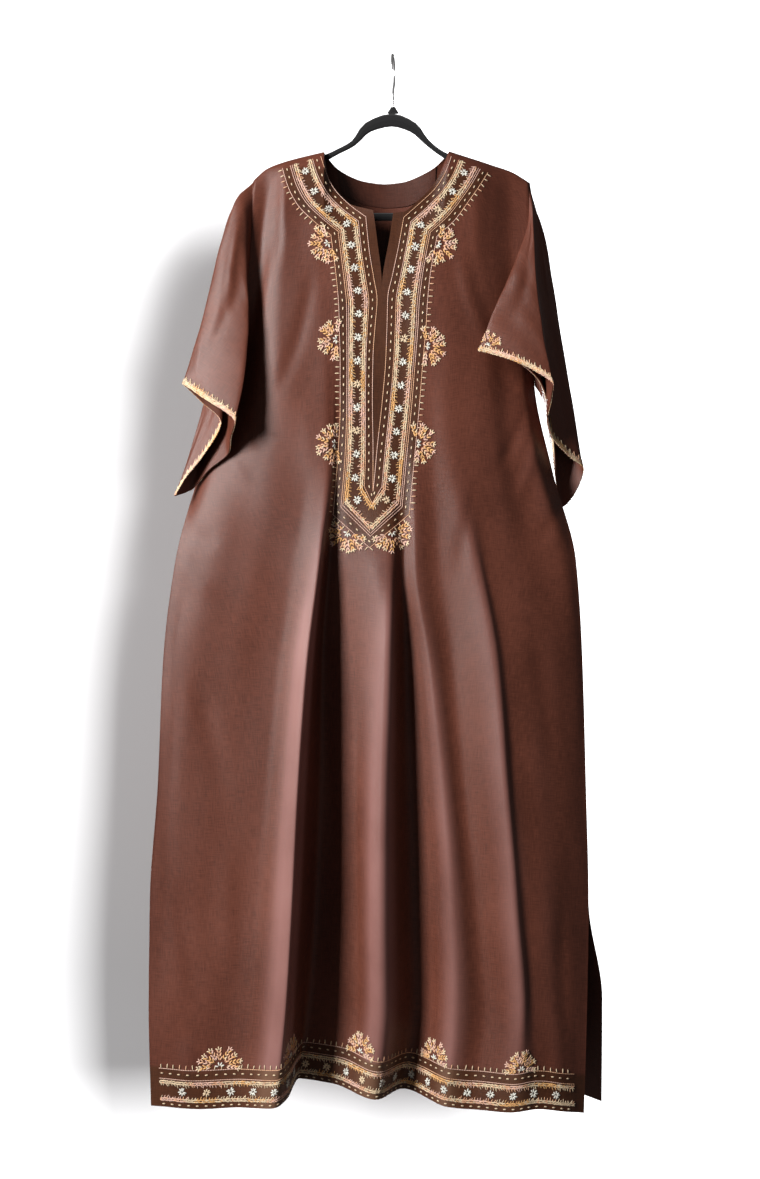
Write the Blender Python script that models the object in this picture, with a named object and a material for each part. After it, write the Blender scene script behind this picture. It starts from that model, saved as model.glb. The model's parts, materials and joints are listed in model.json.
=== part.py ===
"""A long kaftan hung on a slim clothes hanger.

The cloth is a 1.6 mm wall. Every panel is a surface drawn through named fold lines: each line
has a place across the garment and a depth at a few named levels. Sleeves are tubes drawn
through named lines that run from the armhole to the cuff. X is to the wearer's left as the
garment is looked at from the front, Y runs from front to back and Z is up. The origin is the
inside top of the hanger's hook. All tables are in millimetres.
"""
import math

import bmesh
import bpy
import numpy as np

MM = 0.001
CLOTH = 1.6
SEAM_GAP = 0.3
HALF_GAP = SEAM_GAP / 2

# Levels down the body, from the hook's inside top.
CHEST_Z = -278
SLIT_FOOT_Z = -357
UNDERARM_Z = -500
BUST_Z = -628
WAIST_Z = -765
HIP_Z = -915
THIGH_Z = -1100
VENT_Z = -1280
SHIN_Z = -1430
LEVELS = (CHEST_Z, SLIT_FOOT_Z, UNDERARM_Z, BUST_Z, WAIST_Z, HIP_Z, THIGH_Z, VENT_Z, SHIN_Z)
# A fold line is given at every level and at the hem.
FOLD_MARKS = len(LEVELS) + 1

# Cells between one level and the next, from the top edge to the hem.
ROWS = (4, 2, 3, 2, 3, 3, 3, 3, 2, 3)
CELLS_PER_FOLD = 2
# How squarely the cloth turns over the shoulder: the lower, the squarer.
SHOULDER_ROLL = 0.35
# Depth of the neckline past which the cloth no longer rolls over the hanger.
NECK_DEPTH = 22
# More columns where the neckline leaves the neck point, counted in fold lines.
NECK_STEPS = (0.12, 0.28)

# Shoulder seam: x and z from the left shoulder tip to the neck, then from the neck to the right.
SHOULDER_LEFT = (
    ("tip", -211, -187),
    ("slope", -191, -170),
    ("middle", -164, -160),
    ("neck", -105, -145),
)
SHOULDER_RIGHT = (
    ("neck", 85, -144),
    ("middle", 147, -164),
    ("slope", 180, -175),
    ("tip", 208, -192),
)

# Armhole seam: x, z and the depth of its front and back halves.
ARMHOLE_LEFT = (
    ("tip", -211, -187, 0, 0),
    ("cap", -212, -206, -7, 6),
    ("chest", -214, -278, -14, 14),
    ("middle", -220, -354, -18, 16),
    ("low", -236, -438, -12, 12),
    ("underarm", -251, -500, 0, 0),
)
ARMHOLE_RIGHT = (
    ("tip", 208, -192, 0, 0),
    ("cap", 206, -212, -7, 6),
    ("chest", 204, -278, -14, 14),
    ("middle", 208, -354, -18, 16),
    ("low", 212, -438, -12, 12),
    ("underarm", 215, -500, 0, 0),
)

# Top edge of each front fold line: x, z, depth.
# Then x and depth at: chest, slit foot, underarm, bust, waist, hip, thigh, vent, shin, hem.
FRONT_LEFT = (
    ("side", (-211, -187, 0),
     (-214, -220, -251, -293, -327, -345, -353, -365, -366, -362),
     (-14, -18, 0, 0, -22, -26, -26, -26, -30, -33)),
    ("side ridge", (-196, -174, 0),
     (-199, -205, -228, -268, -302, -328, -336, -345, -346, -340),
     (-12, -15, -14, -20, -29, -29, -27, -27, -32, -35)),
    ("soft ridge", (-180, -165, 0),
     (-179, -186, -201, -232, -266, -302, -311, -314, -318, -312),
     (-18, -27, -30, -31, -35, -32, -30, -30, -34, -38)),
    ("flat", (-163, -160, 0),
     (-160, -164, -170, -187, -210, -230, -238, -243, -250, -260),
     (-28, -32, -37, -38, -38, -34, -32, -32, -36, -40)),
    ("fold foot", (-140, -154, 0),
     (-137, -136, -136, -137, -151, -170, -188, -203, -218, -234),
     (-29, -33, -38, -42, -41, -37, -36, -37, -40, -43)),
    ("fold crest", (-120, -149, 0),
     (-114, -109, -104, -100, -111, -129, -142, -151, -160, -176),
     (-30, -34, -39, -45, -53, -60, -64, -66, -66, -64)),
    ("fold edge", (-105, -145, 0),
     (-102, -96, -91, -92, -105, -121, -134, -143, -152, -158),
     (-30, -34, -38, -43, -47, -48, -48, -48, -46, -38)),
    ("fold valley", (-96, -193, -11),
     (-90, -85, -81, -84, -95, -106, -109, -116, -126, -144),
     (-30, -34, -37, -37, -24, -4, 8, 16, 20, 22)),
    ("valley side", (-68, -228, -20),
     (-66, -65, -62, -64, -66, -66, -64, -62, -62, -84),
     (-29, -34, -37, -39, -35, -23, -14, -9, -6, -2)),
    ("centre", (-30, -240, -25),
     (-25, -17, -18, -20, -6, -9, -15, -17, -16, -28),
     (-27, -32, -36, -40, -47, -54, -54, -51, -47, -42)),
)
FRONT_RIGHT = (
    ("centre", (0, -244, -25),
     (-5, -17, -18, -20, -6, -9, -15, -17, -16, -28),
     (-27, -32, -36, -40, -47, -54, -54, -51, -47, -42)),
    ("second valley", (16, -242, -25),
     (9, 8, 11, 13, 15, 20, 26, 32, 36, 18),
     (-26, -32, -36, -38, -35, -20, -8, -1, 5, 12)),
    ("second ridge", (36, -226, -22),
     (30, 29, 31, 32, 34, 55, 75, 89, 94, 80),
     (-27, -33, -37, -41, -45, -44, -43, -43, -44, -44)),
    ("soft valley", (62, -197, -15),
     (50, 51, 54, 56, 64, 84, 103, 121, 132, 112),
     (-28, -34, -38, -40, -41, -39, -37, -37, -39, -44)),
    ("third ridge", (85, -144, 0),
     (74, 76, 79, 89, 121, 149, 164, 178, 188, 178),
     (-29, -35, -39, -44, -53, -60, -64, -65, -65, -62)),
    ("ridge foot", (108, -151, 0),
     (96, 100, 108, 119, 138, 164, 178, 193, 204, 212),
     (-29, -34, -38, -41, -47, -53, -56, -57, -57, -55)),
    ("flat", (128, -158, 0),
     (119, 126, 139, 153, 177, 203, 219, 230, 238, 244),
     (-29, -33, -36, -37, -42, -47, -50, -51, -51, -50)),
    ("side valley", (150, -165, 0),
     (147, 153, 166, 180, 218, 248, 250, 254, 258, 264),
     (-22, -27, -28, -29, -34, -40, -42, -43, -43, -43)),
    ("side ridge", (182, -176, 0),
     (180, 186, 194, 214, 252, 270, 272, 276, 275, 276),
     (-13, -17, -22, -26, -30, -33, -34, -34, -36, -37)),
    ("side", (208, -192, 0),
     (204, 208, 215, 242, 275, 284, 289, 293, 290, 285),
     (-14, -18, 0, 0, -20, -25, -26, -26, -30, -33)),
)

# The back hangs in gentler folds of the same kind.
BACK = (
    ("side left", (-211, -187, 0),
     (-214, -220, -251, -293, -327, -345, -353, -365, -368, -366),
     (14, 17, 0, 0, -22, -26, -26, -26, -2, 14)),
    ("side panel left", (-180, -165, 0),
     (-176, -186, -207, -242, -277, -302, -310, -314, -316, -314),
     (20, 28, 31, 33, 34, 34, 38, 44, 50, 54)),
    ("ridge left", (-145, -155, 0),
     (-138, -150, -168, -192, -217, -240, -250, -256, -260, -264),
     (29, 35, 40, 46, 52, 58, 62, 66, 70, 72)),
    ("valley left", (-105, -145, 0),
     (-98, -106, -116, -134, -150, -164, -174, -180, -186, -192),
     (31, 36, 39, 42, 44, 44, 44, 46, 48, 50)),
    ("blade ridge left", (-82, -168, 13),
     (-62, -66, -73, -85, -96, -105, -112, -117, -122, -128),
     (32, 37, 42, 48, 54, 60, 64, 68, 71, 73)),
    ("centre valley left", (-44, -183, 22),
     (-30, -32, -34, -38, -42, -46, -50, -54, -58, -62),
     (33, 38, 41, 44, 46, 46, 46, 48, 50, 52)),
    ("centre", (-13, -186, 25),
     (-4, -2, 1, 4, 6, 8, 10, 12, 14, 14),
     (33, 38, 42, 47, 52, 56, 60, 64, 68, 70)),
    ("centre valley right", (14, -184, 23),
     (26, 30, 35, 42, 50, 58, 64, 68, 72, 74),
     (33, 38, 41, 43, 45, 46, 46, 48, 50, 52)),
    ("blade ridge right", (62, -165, 13),
     (58, 64, 72, 85, 99, 110, 119, 125, 131, 136),
     (32, 37, 42, 48, 54, 59, 63, 66, 69, 71)),
    ("valley right", (85, -144, 0),
     (90, 100, 110, 127, 146, 160, 170, 177, 183, 188),
     (31, 36, 39, 41, 43, 43, 43, 45, 47, 50)),
    ("ridge right", (130, -158, 0),
     (126, 140, 154, 178, 202, 217, 227, 234, 242, 248),
     (28, 34, 39, 45, 51, 56, 59, 61, 63, 65)),
    ("side panel right", (170, -171, 0),
     (168, 178, 188, 214, 242, 256, 263, 270, 280, 284),
     (19, 26, 30, 32, 33, 32, 34, 38, 44, 48)),
    ("side right", (208, -192, 0),
     (204, 208, 215, 242, 275, 284, 289, 293, 318, 320),
     (14, 17, 0, 0, -20, -25, -26, -26, 0, 18)),
)

# Hem heights along x, of the front and of the back.
FRONT_HEM = (
    (-362, -1580), (-290, -1583), (-235, -1579), (-206, -1576), (-158, -1568),
    (-144, -1560), (-98, -1560), (-38, -1567), (23, -1572), (80, -1578),
    (112, -1581), (158, -1580), (208, -1577), (264, -1586), (285, -1591),
)
BACK_HEM = ((-366, -1572), (-264, -1566), (-13, -1562), (188, -1572), (284, -1590), (320, -1593))

# Height over which the slope of an armhole seam is taken.
SEAM_STEP = 3.0

# Sleeve lines, in order round the cuff: height of the start on the armhole and which half of it,
# then x, depth and z near the shoulder, at the upper arm, at the elbow and at the cuff.
SLEEVE_STATIONS = (0.0, 0.12, 0.4, 0.7, 1.0)
SLEEVE_LEFT = (
    ("top line", -187, "front",
     (-228, 1, -222), (-246, -10, -339), (-252, -22, -453), (-257, -36, -561)),
    ("top fold", -189, "front",
     (-232, -6, -216), (-254, -17, -312), (-270, -26, -427), (-286, -35, -529)),
    ("front lobe fold", -193, "front",
     (-235, -13, -216), (-260, -24, -293), (-286, -32, -407), (-314, -39, -503)),
    ("front lobe outer", -225, "front",
     (-226, -22, -240), (-250, -33, -312), (-272, -42, -415), (-298, -48, -514)),
    ("front lobe middle", -270, "front",
     (-220, -25, -287), (-234, -39, -354), (-252, -50, -438), (-277, -60, -529)),
    ("front lobe inner fold", -354, "front",
     (-217, -33, -366), (-214, -47, -414), (-219, -61, -488), (-232, -76, -564)),
    ("underside front", -438, "front",
     (-235, -21, -446), (-235, -32, -482), (-236, -42, -530), (-240, -54, -585)),
    ("underarm", -500, "front",
     (-254, -6, -512), (-254, -16, -537), (-249, -27, -570), (-245, -38, -605)),
    ("underside back", -458, "back",
     (-248, 10, -479), (-267, 6, -518), (-280, -4, -570), (-276, -22, -629)),
    ("back lobe corner", -423, "back",
     (-239, 14, -448), (-260, 12, -509), (-284, 2, -582), (-304, -12, -658)),
    ("back lobe fold", -369, "back",
     (-228, 18, -400), (-269, 6, -476), (-296, -12, -570), (-327, -28, -669)),
    ("back lobe hem", -300, "back",
     (-228, 14, -339), (-260, 0, -438), (-284, -14, -540), (-312, -28, -643)),
    ("back lobe inner", -240, "back",
     (-226, 8, -278), (-248, -4, -385), (-264, -17, -499), (-286, -30, -611)),
)
SLEEVE_RIGHT = (
    ("top line", -192, "front",
     (212, -4, -225), (216, -22, -336), (225, -36, -448), (229, -46, -552)),
    ("valley front", -196, "front",
     (211, -9, -226), (213, -35, -324), (222, -56, -430), (232, -70, -527)),
    ("front lobe fold", -213, "front",
     (210, -16, -239), (210, -46, -327), (217, -72, -424), (231, -94, -512)),
    ("front lobe middle", -245, "front",
     (204, -22, -266), (195, -45, -331), (185, -64, -403), (178, -80, -477)),
    ("front lobe point", -269, "front",
     (195, -24, -290), (172, -41, -344), (147, -54, -400), (125, -62, -458)),
    ("front lobe inside", -369, "front",
     (203, -33, -380), (196, -43, -406), (184, -50, -439), (175, -57, -470)),
    ("underside front", -438, "front",
     (213, -16, -448), (214, -26, -467), (216, -38, -485), (217, -52, -503)),
    ("underarm", -500, "front",
     (222, -4, -511), (228, -9, -528), (234, -16, -548), (239, -24, -568)),
    ("underside back", -445, "back",
     (221, 13, -468), (227, 15, -518), (238, 14, -576), (250, 10, -650)),
    ("back lobe corner", -392, "back",
     (219, 20, -423), (229, 27, -491), (243, 30, -579), (261, 24, -682)),
    ("back lobe hem", -331, "back",
     (220, 22, -366), (240, 28, -445), (263, 28, -552), (281, 16, -657)),
    ("outer fold", -225, "back",
     (225, 6, -251), (245, 12, -342), (266, 10, -473), (290, 4, -628)),
    ("outer panel", -207, "back",
     (220, 2, -240), (233, 0, -347), (248, -4, -473), (263, -10, -605)),
    ("valley back", -197, "back",
     (216, 0, -230), (223, -10, -342), (233, -18, -464), (237, -26, -579)),
)
SLEEVE_CELLS_ALONG = 14
# Cells crowd towards the armhole: 1 spaces them evenly.
SLEEVE_CROWDING = 1.15
# A line this close to a row of the armhole, counted in lines, gives way to it.
LINE_CLEAR = 0.15

# Back neck facing: how deep it is and how thick, and its ends across the neck.
FACING_DEEP = 36
FACING_CLOTH = 1.0
FACING_FROM = -88
FACING_TO = 68
FACING_ROWS = 5
# How far the facing starts below the neckline, and how far it lies inside the panel.
FACING_BELOW_EDGE = 0.5
FACING_INSIDE = 2.2

# Hanger: centre line of the flocked loop, x, z and how tall the strip is there.
HANGER_THICK = 4.6
HANGER_LOOP = (
    ("arch top", -2, -96, 20),
    ("arch left", -38, -107, 16),
    ("arch foot left", -60, -131, 9),
    ("neck left", -84, -144, 8),
    ("root left", -107, -155, 10),
    ("arm left", -157, -168.5, 12),
    ("end of arm left", -184, -180, 12),
    ("tip left", -198, -200, 12),
    ("lower tip left", -197, -226, 11),
    ("bar end left", -178, -241, 11),
    ("bar left", -100, -243, 12),
    ("bar middle", -10, -243, 12),
    ("bar right", 90, -243, 12),
    ("bar end right", 176, -243, 11),
    ("lower tip right", 194, -228, 11),
    ("tip right", 194, -208, 12),
    ("end of arm right", 178, -189, 12),
    ("arm right", 145, -175, 12),
    ("root right", 89, -155, 10),
    ("neck right", 68, -143, 8),
    ("arch foot right", 50, -128, 9),
    ("arch right", 30, -107, 16),
)
HANGER_STEPS = 3
HANGER_SIDES = 8

COLLAR_TOP_Z = -77.0
COLLAR_FOOT_Z = -85.6
COLLAR_TOP_RADIUS = 3.6
COLLAR_FOOT_RADIUS = 9.0
COLLAR_SQUASH = 0.42
COLLAR_SIDES = 20

# Points taken over the join of a closed curve, so that it stays smooth there.
LOOP_REACH = 3

HOOK_WIRE = 3.6
HOOK_INNER_RADIUS = 20.5
HOOK_TURN = math.radians(84)
HOOK_ARC_START = math.radians(-48)
HOOK_ARC_END = math.radians(198)
# The wire's centre line below the arc, out from the stem's axis and z.
HOOK_STEM = ((0.0, COLLAR_TOP_Z + SEAM_GAP), (0.0, -66.0), (0.4, -56.0), (4.5, -47.5))
HOOK_ARC_STEPS = 30

SHARP_EDGE = math.radians(45)

CLOTH_BROWN = (0.115, 0.042, 0.030, 1)
FLOCK_BLACK = (0.012, 0.012, 0.013, 1)
STEEL = (0.78, 0.78, 0.80, 1)


def clear_scene():
    for item in list(bpy.data.objects):
        bpy.data.objects.remove(item, do_unlink=True)


def make_material(name, colour, roughness, metallic=0.0):
    material = bpy.data.materials.new(name)
    material.use_nodes = True
    shader = material.node_tree.nodes["Principled BSDF"]
    shader.inputs["Base Color"].default_value = colour
    shader.inputs["Roughness"].default_value = roughness
    shader.inputs["Metallic"].default_value = metallic
    return material


def smooth(knots, values, at):
    """Cubic through the values with no overshoot, so a crest or a valley stays where it is named."""
    knots = np.asarray(knots, dtype=float)
    values = np.asarray(values, dtype=float)
    at = np.asarray(at, dtype=float)
    if knots[0] > knots[-1]:
        knots = knots[::-1]
        values = values[::-1]
    gaps = np.diff(knots)
    steps = np.diff(values) / gaps
    slopes = np.zeros_like(values)
    slopes[0] = steps[0]
    slopes[-1] = steps[-1]
    same_way = steps[:-1] * steps[1:] > 0
    before = 2 * gaps[1:] + gaps[:-1]
    after = gaps[1:] + 2 * gaps[:-1]
    safe_first = np.where(same_way, steps[:-1], 1.0)
    safe_second = np.where(same_way, steps[1:], 1.0)
    mean = (before + after) / (before / safe_first + after / safe_second)
    slopes[1:-1] = np.where(same_way, mean, 0.0)
    place = np.clip(np.searchsorted(knots, at, side="right") - 1, 0, len(gaps) - 1)
    t = np.clip((at - knots[place]) / gaps[place], 0, 1)
    start = values[place] * (2 * t**3 - 3 * t**2 + 1) + values[place + 1] * (3 * t**2 - 2 * t**3)
    bend = slopes[place] * (t**3 - 2 * t**2 + t) + slopes[place + 1] * (t**3 - t**2)
    return start + bend * gaps[place]


def round_loop(values, at):
    """Smooth closed curve through the values; at counts them from 0."""
    count = len(values)
    padded = list(values[-LOOP_REACH:]) + list(values) + list(values[:LOOP_REACH])
    knots = np.arange(-LOOP_REACH, count + LOOP_REACH)
    return smooth(knots, padded, at)


def armhole_point(table, z, half):
    """Point of the armhole seam at height z, on its front or its back half."""
    depth_column = 3 if half == "front" else 4
    heights = [row[2] for row in table]
    x = smooth(heights, [row[1] for row in table], z)
    y = smooth(heights, [row[depth_column] for row in table], z)
    gap = -HALF_GAP if half == "front" else HALF_GAP
    return float(x), float(y) + gap


def armhole_inward(table, z, half):
    """Unit direction from the armhole seam into the sleeve, square to the seam, with no x part."""
    highest = table[0][2]
    lowest = table[-1][2]
    above = min(z + SEAM_STEP, highest)
    below = max(z - SEAM_STEP, lowest)
    y_above = armhole_point(table, above, half)[1]
    y_below = armhole_point(table, below, half)[1]
    run = y_below - y_above
    drop = above - below
    side = 1 if half == "front" else -1
    direction = np.array([0.0, side * drop, side * run])
    return direction / np.linalg.norm(direction)


def row_heights(top_z, hem_z):
    """Heights of all the rows of one column, closer together just under its top edge."""
    marks = [top_z] + list(LEVELS) + [hem_z]
    heights = []
    for index, count in enumerate(ROWS):
        for step in range(count):
            share = step / count
            if index == 0:
                share = share**2
            heights.append(marks[index] + (marks[index + 1] - marks[index]) * share)
    heights.append(hem_z)
    return heights


def cloth_column(top, xs, ys, hem_z, rounding):
    """One column of a panel: over the top edge, through the levels and down to the hem."""
    top_x, top_z, top_y = top
    heights = np.array(row_heights(top_z, hem_z))
    level_heights = list(LEVELS) + [hem_z]
    x = smooth([top_z] + level_heights, [top_x] + list(xs), heights)
    y = smooth(level_heights, ys, heights)
    share = np.clip((top_z - heights) / (top_z - CHEST_Z), 0, 1)
    over = top_y + (ys[0] - top_y) * share**rounding
    y = np.where(heights > CHEST_Z, over, y)
    return np.column_stack([x, y, heights])


def shoulder_height(x):
    """Height of the shoulder seam at x."""
    table = SHOULDER_LEFT if x < 0 else SHOULDER_RIGHT
    return float(smooth([row[1] for row in table], [row[2] for row in table], x))


def top_edge(lines, fine):
    """Top point of each column, x, z and depth, and whether it lies on the shoulder seam."""
    tops = np.array([row[1] for row in lines], dtype=float)
    neckline = [index for index, top in enumerate(tops) if top[2] != 0]
    first = max(neckline[0] - 1, 0)
    last = min(neckline[-1] + 1, len(lines) - 1)
    run = np.arange(first, last + 1)
    turn = -1 if tops[neckline[0], 2] < 0 else 1
    edge = []
    for at in fine:
        inside_run = first < at < last
        if tops[first, 2] != 0:
            inside_run = at < last
        if tops[last, 2] != 0:
            inside_run = at > first
        if inside_run:
            x = float(smooth(run, tops[run, 0], at))
            z = float(smooth(run, tops[run, 1], at))
            spread = float(smooth(run, tops[run, 2] ** 2, at))
            edge.append((x, z, turn * math.sqrt(max(spread, 0)), False))
        else:
            x = float(np.interp(at, np.arange(len(lines)), tops[:, 0]))
            edge.append((x, shoulder_height(x), 0.0, True))
    return edge


def seam_side(table, column, half, side):
    """Moves a panel's edge column onto the armhole seam and the side seam below it."""
    moved = column.copy()
    inward = np.zeros_like(column)
    lowest = table[-1][2]
    gap = -HALF_GAP if half == "front" else HALF_GAP
    for index, (x, y, z) in enumerate(column):
        if z > lowest + 1e-6:
            seam_x, seam_y = armhole_point(table, z, half)
            moved[index] = (seam_x, seam_y, z)
            direction = armhole_inward(table, z, half)
            room = max(abs(seam_y) - HALF_GAP, 0) / CLOTH
            if abs(direction[1]) > room:
                rise = math.copysign(math.sqrt(1 - min(room, 1)**2), direction[2])
                direction = np.array([0.0, math.copysign(room, direction[1]), rise])
            inward[index] = direction
        else:
            moved[index] = (x, y + gap, z)
            inward[index] = (-side, 0.0, 0.0)
    inward[0] = (0.0, 0.0, -1.0)
    return moved, inward


def column_places(lines):
    """Where a panel's columns lie, counted in fold lines, with more of them beside a neck point."""
    places = set(np.linspace(0, len(lines) - 1, (len(lines) - 1) * CELLS_PER_FOLD + 1))
    on_neckline = [row[1][2] != 0 for row in lines]
    for index in range(len(lines) - 1):
        if on_neckline[index] != on_neckline[index + 1]:
            for step in NECK_STEPS:
                places.add(index + 1 - step if on_neckline[index] else index + step)
    return np.array(sorted(places))


def panel_part(lines, hem, half, sides, before=(), after=()):
    """Outer points of one run of fold lines, with the fixed wall directions at its seams. The fold
    lines before and after it only make it run on smoothly into the cloth beside it."""
    run_on = list(before) + list(lines) + list(after)
    knots = np.arange(len(run_on)) - len(before)
    fine = column_places(lines)
    tops = top_edge(lines, fine)
    gap = -HALF_GAP if half == "front" else HALF_GAP
    columns = []
    fixed = []
    for place, at in enumerate(fine):
        xs = [float(smooth(knots, [row[2][mark] for row in run_on], at)) for mark in range(FOLD_MARKS)]
        ys = [float(smooth(knots, [row[3][mark] for row in run_on], at)) for mark in range(FOLD_MARKS)]
        hem_z = float(smooth([row[0] for row in hem], [row[1] for row in hem], xs[-1]))
        top_x, top_z, depth, on_shoulder = tops[place]
        rounding = SHOULDER_ROLL + (1 - SHOULDER_ROLL) * min(abs(depth) / NECK_DEPTH, 1)
        column = cloth_column((top_x, top_z, depth), xs, ys, hem_z, rounding)
        inward = np.zeros_like(column)
        if on_shoulder:
            column[0, 1] = gap
            inward[0] = (0.0, 0.0, -1.0)
        if place == 0 and "left" in sides:
            column, inward = seam_side(ARMHOLE_LEFT, column, half, -1)
        if place == len(fine) - 1 and "right" in sides:
            column, inward = seam_side(ARMHOLE_RIGHT, column, half, 1)
        columns.append(column)
        fixed.append(inward)
    return np.array(columns), np.array(fixed)


def grid_faces(index, flip):
    """Quads of a grid of vertex numbers, columns first."""
    faces = []
    for i in range(index.shape[0] - 1):
        for j in range(index.shape[1] - 1):
            quad = (index[i, j], index[i + 1, j], index[i + 1, j + 1], index[i, j + 1])
            faces.append(tuple(reversed(quad)) if flip else quad)
    return faces


def cloth_object(name, points, fixed, faces, material, thick=CLOTH):
    """Closed wall: the outer points, the same points moved in, and a rim along the free edges."""
    points = np.asarray(points)
    fixed = np.asarray(fixed)
    normals = np.zeros_like(points)
    for face in faces:
        a, b, c, d = (points[number] for number in face)
        normal = np.cross(c - a, d - b)
        for number in face:
            normals[number] += normal
    lengths = np.linalg.norm(normals, axis=1)
    normals /= lengths[:, None]
    held = np.linalg.norm(fixed, axis=1) > 0.5
    inward = np.where(held[:, None], fixed, -normals)
    inner = points + inward * thick
    mesh = bmesh.new()
    outer_verts = [mesh.verts.new(point * MM) for point in points]
    inner_verts = [mesh.verts.new(point * MM) for point in inner]
    edge_uses = {}
    for face in faces:
        mesh.faces.new([outer_verts[number] for number in face])
        mesh.faces.new([inner_verts[number] for number in reversed(face)])
        for start, end in zip(face, face[1:] + face[:1]):
            edge_uses[(start, end)] = edge_uses.get((start, end), 0) + 1
    for start, end in edge_uses:
        if (end, start) not in edge_uses:
            rim = (outer_verts[end], outer_verts[start], inner_verts[start], inner_verts[end])
            mesh.faces.new(rim)
    data = bpy.data.meshes.new(name)
    mesh.to_mesh(data)
    mesh.free()
    data.materials.append(material)
    data.shade_smooth()
    data.set_sharp_from_angle(angle=SHARP_EDGE)
    thing = bpy.data.objects.new(name, data)
    bpy.context.scene.collection.objects.link(thing)


def make_front(material):
    """Front panel: two halves that share the centre line below the neck slit."""
    left, left_fixed = panel_part(FRONT_LEFT, FRONT_HEM, "front", "left",
                                  after=FRONT_RIGHT[1:3])
    right, right_fixed = panel_part(FRONT_RIGHT, FRONT_HEM, "front", "right",
                                    before=FRONT_LEFT[-3:-1])
    rows = left.shape[1]
    slit_rows = ROWS[0] + ROWS[1]
    left_index = np.arange(left.shape[0] * rows).reshape(left.shape[0], rows)
    right_index = np.arange(right.shape[0] * rows).reshape(right.shape[0], rows)
    right_index = right_index + left_index.size
    right_index[0, slit_rows:] = left_index[-1, slit_rows:]
    points = np.concatenate([left.reshape(-1, 3), right.reshape(-1, 3)])
    fixed = np.concatenate([left_fixed.reshape(-1, 3), right_fixed.reshape(-1, 3)])
    faces = grid_faces(left_index, True) + grid_faces(right_index, True)
    used = sorted({number for face in faces for number in face})
    place = {number: count for count, number in enumerate(used)}
    faces = [tuple(place[number] for number in face) for face in faces]
    cloth_object("front_panel", points[used], fixed[used], faces, material)


def make_back(material):
    grid, fixed = panel_part(BACK, BACK_HEM, "back", "left right")
    index = np.arange(grid.shape[0] * grid.shape[1]).reshape(grid.shape[:2])
    faces = grid_faces(index, False)
    cloth_object("back_panel", grid.reshape(-1, 3), fixed.reshape(-1, 3), faces, material)
    return grid


def armhole_edge(table, half):
    """The points of a panel's armhole edge, from the shoulder tip down to the underarm."""
    heights = [z for z in row_heights(table[0][2], FRONT_HEM[0][1]) if z >= UNDERARM_Z]
    return [(*armhole_point(table, z, half), z) for z in heights]


def ring_places(lines, table):
    """Where a sleeve's long edges lie, counted in its lines: at every row of the panels' armhole
    edges, so that both edges have the same corners, and at the lines between them."""
    underarm = [row[0] for row in lines].index("underarm")
    heights = [row[1] for row in lines] + [lines[0][1]]
    rows = [point[2] for point in armhole_edge(table, "front")]
    front = np.interp([-z for z in rows], [-z for z in heights[:underarm + 1]],
                      np.arange(underarm + 1))
    climb = heights[underarm:]
    back = np.interp(rows[1:-1], climb, np.arange(underarm, len(heights)))
    places = list(front) + list(back)
    for index in range(len(lines)):
        if min(abs(index - place) for place in places) > LINE_CLEAR:
            places.append(float(index))
    return np.array(sorted(places)), underarm


def make_sleeve(name, lines, table, side, material):
    """Tube from the armhole seam to the cuff."""
    stations = np.array(SLEEVE_STATIONS)
    along = np.linspace(0, 1, SLEEVE_CELLS_ALONG + 1) ** SLEEVE_CROWDING
    fine, underarm = ring_places(lines, table)
    tracks = []
    for row in lines:
        knots = [(*armhole_point(table, row[1], row[2]), row[1])] + list(row[3:])
        tracks.append([smooth(stations, [knot[axis] for knot in knots], along)
                       for axis in range(3)])
    tracks = np.array(tracks)
    grid = np.zeros((len(fine), len(along), 3))
    for column in range(len(along)):
        for axis in range(3):
            grid[:, column, axis] = round_loop(tracks[:, axis, column], fine)
    fixed = np.zeros_like(grid)
    heights = [row[1] for row in lines] + [lines[0][1]]
    for place, at in enumerate(fine):
        z = float(np.interp(at, np.arange(len(heights)), heights))
        half = "front" if at <= underarm else "back"
        edge = armhole_edge(table, half)
        fall = [-point[2] for point in edge]
        x = float(np.interp(-z, fall, [point[0] for point in edge]))
        y = float(np.interp(-z, fall, [point[1] for point in edge]))
        fixed[place, 0] = armhole_inward(table, z, half)
        if at in (0, underarm):
            y = 0.0
            fixed[place, 0] = (0.0, 0.0, -1.0 if at == 0 else 1.0)
        grid[place, 0] = (x + side * SEAM_GAP, y, z)
    # A sleeve stands square off its seam before it folds over the panel.
    grid[:, 1, 0] = side * np.maximum(side * grid[:, 1, 0], side * grid[:, 0, 0])
    count, steps = grid.shape[:2]
    index = np.arange(count * steps).reshape(count, steps)
    index = np.vstack([index, index[:1]])
    faces = grid_faces(index, side < 0)
    cloth_object(name, grid.reshape(-1, 3), fixed.reshape(-1, 3), faces, material)


def make_facing(back, material):
    """Facing behind the back neckline: the panel's own points moved in, a hand's width across."""
    tops = back[:, 0, :]
    inside = [place for place in range(len(tops)) if FACING_FROM <= tops[place, 0] <= FACING_TO]
    rows = FACING_ROWS
    grid = []
    for place in inside:
        column = back[place]
        top_z = column[0, 2]
        heights = np.linspace(top_z - FACING_BELOW_EDGE, top_z - FACING_DEEP, rows)
        x = smooth(column[:, 2], column[:, 0], heights)
        y = smooth(column[:, 2], column[:, 1], heights)
        grid.append(np.column_stack([x, y - FACING_INSIDE, heights]))
    grid = np.array(grid)
    index = np.arange(grid.shape[0] * rows).reshape(grid.shape[0], rows)
    faces = grid_faces(index, False)
    fixed = np.zeros_like(grid).reshape(-1, 3)
    points = grid.reshape(-1, 3)
    cloth_object("back_neck_facing", points, fixed, faces, material, FACING_CLOTH)


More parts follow.
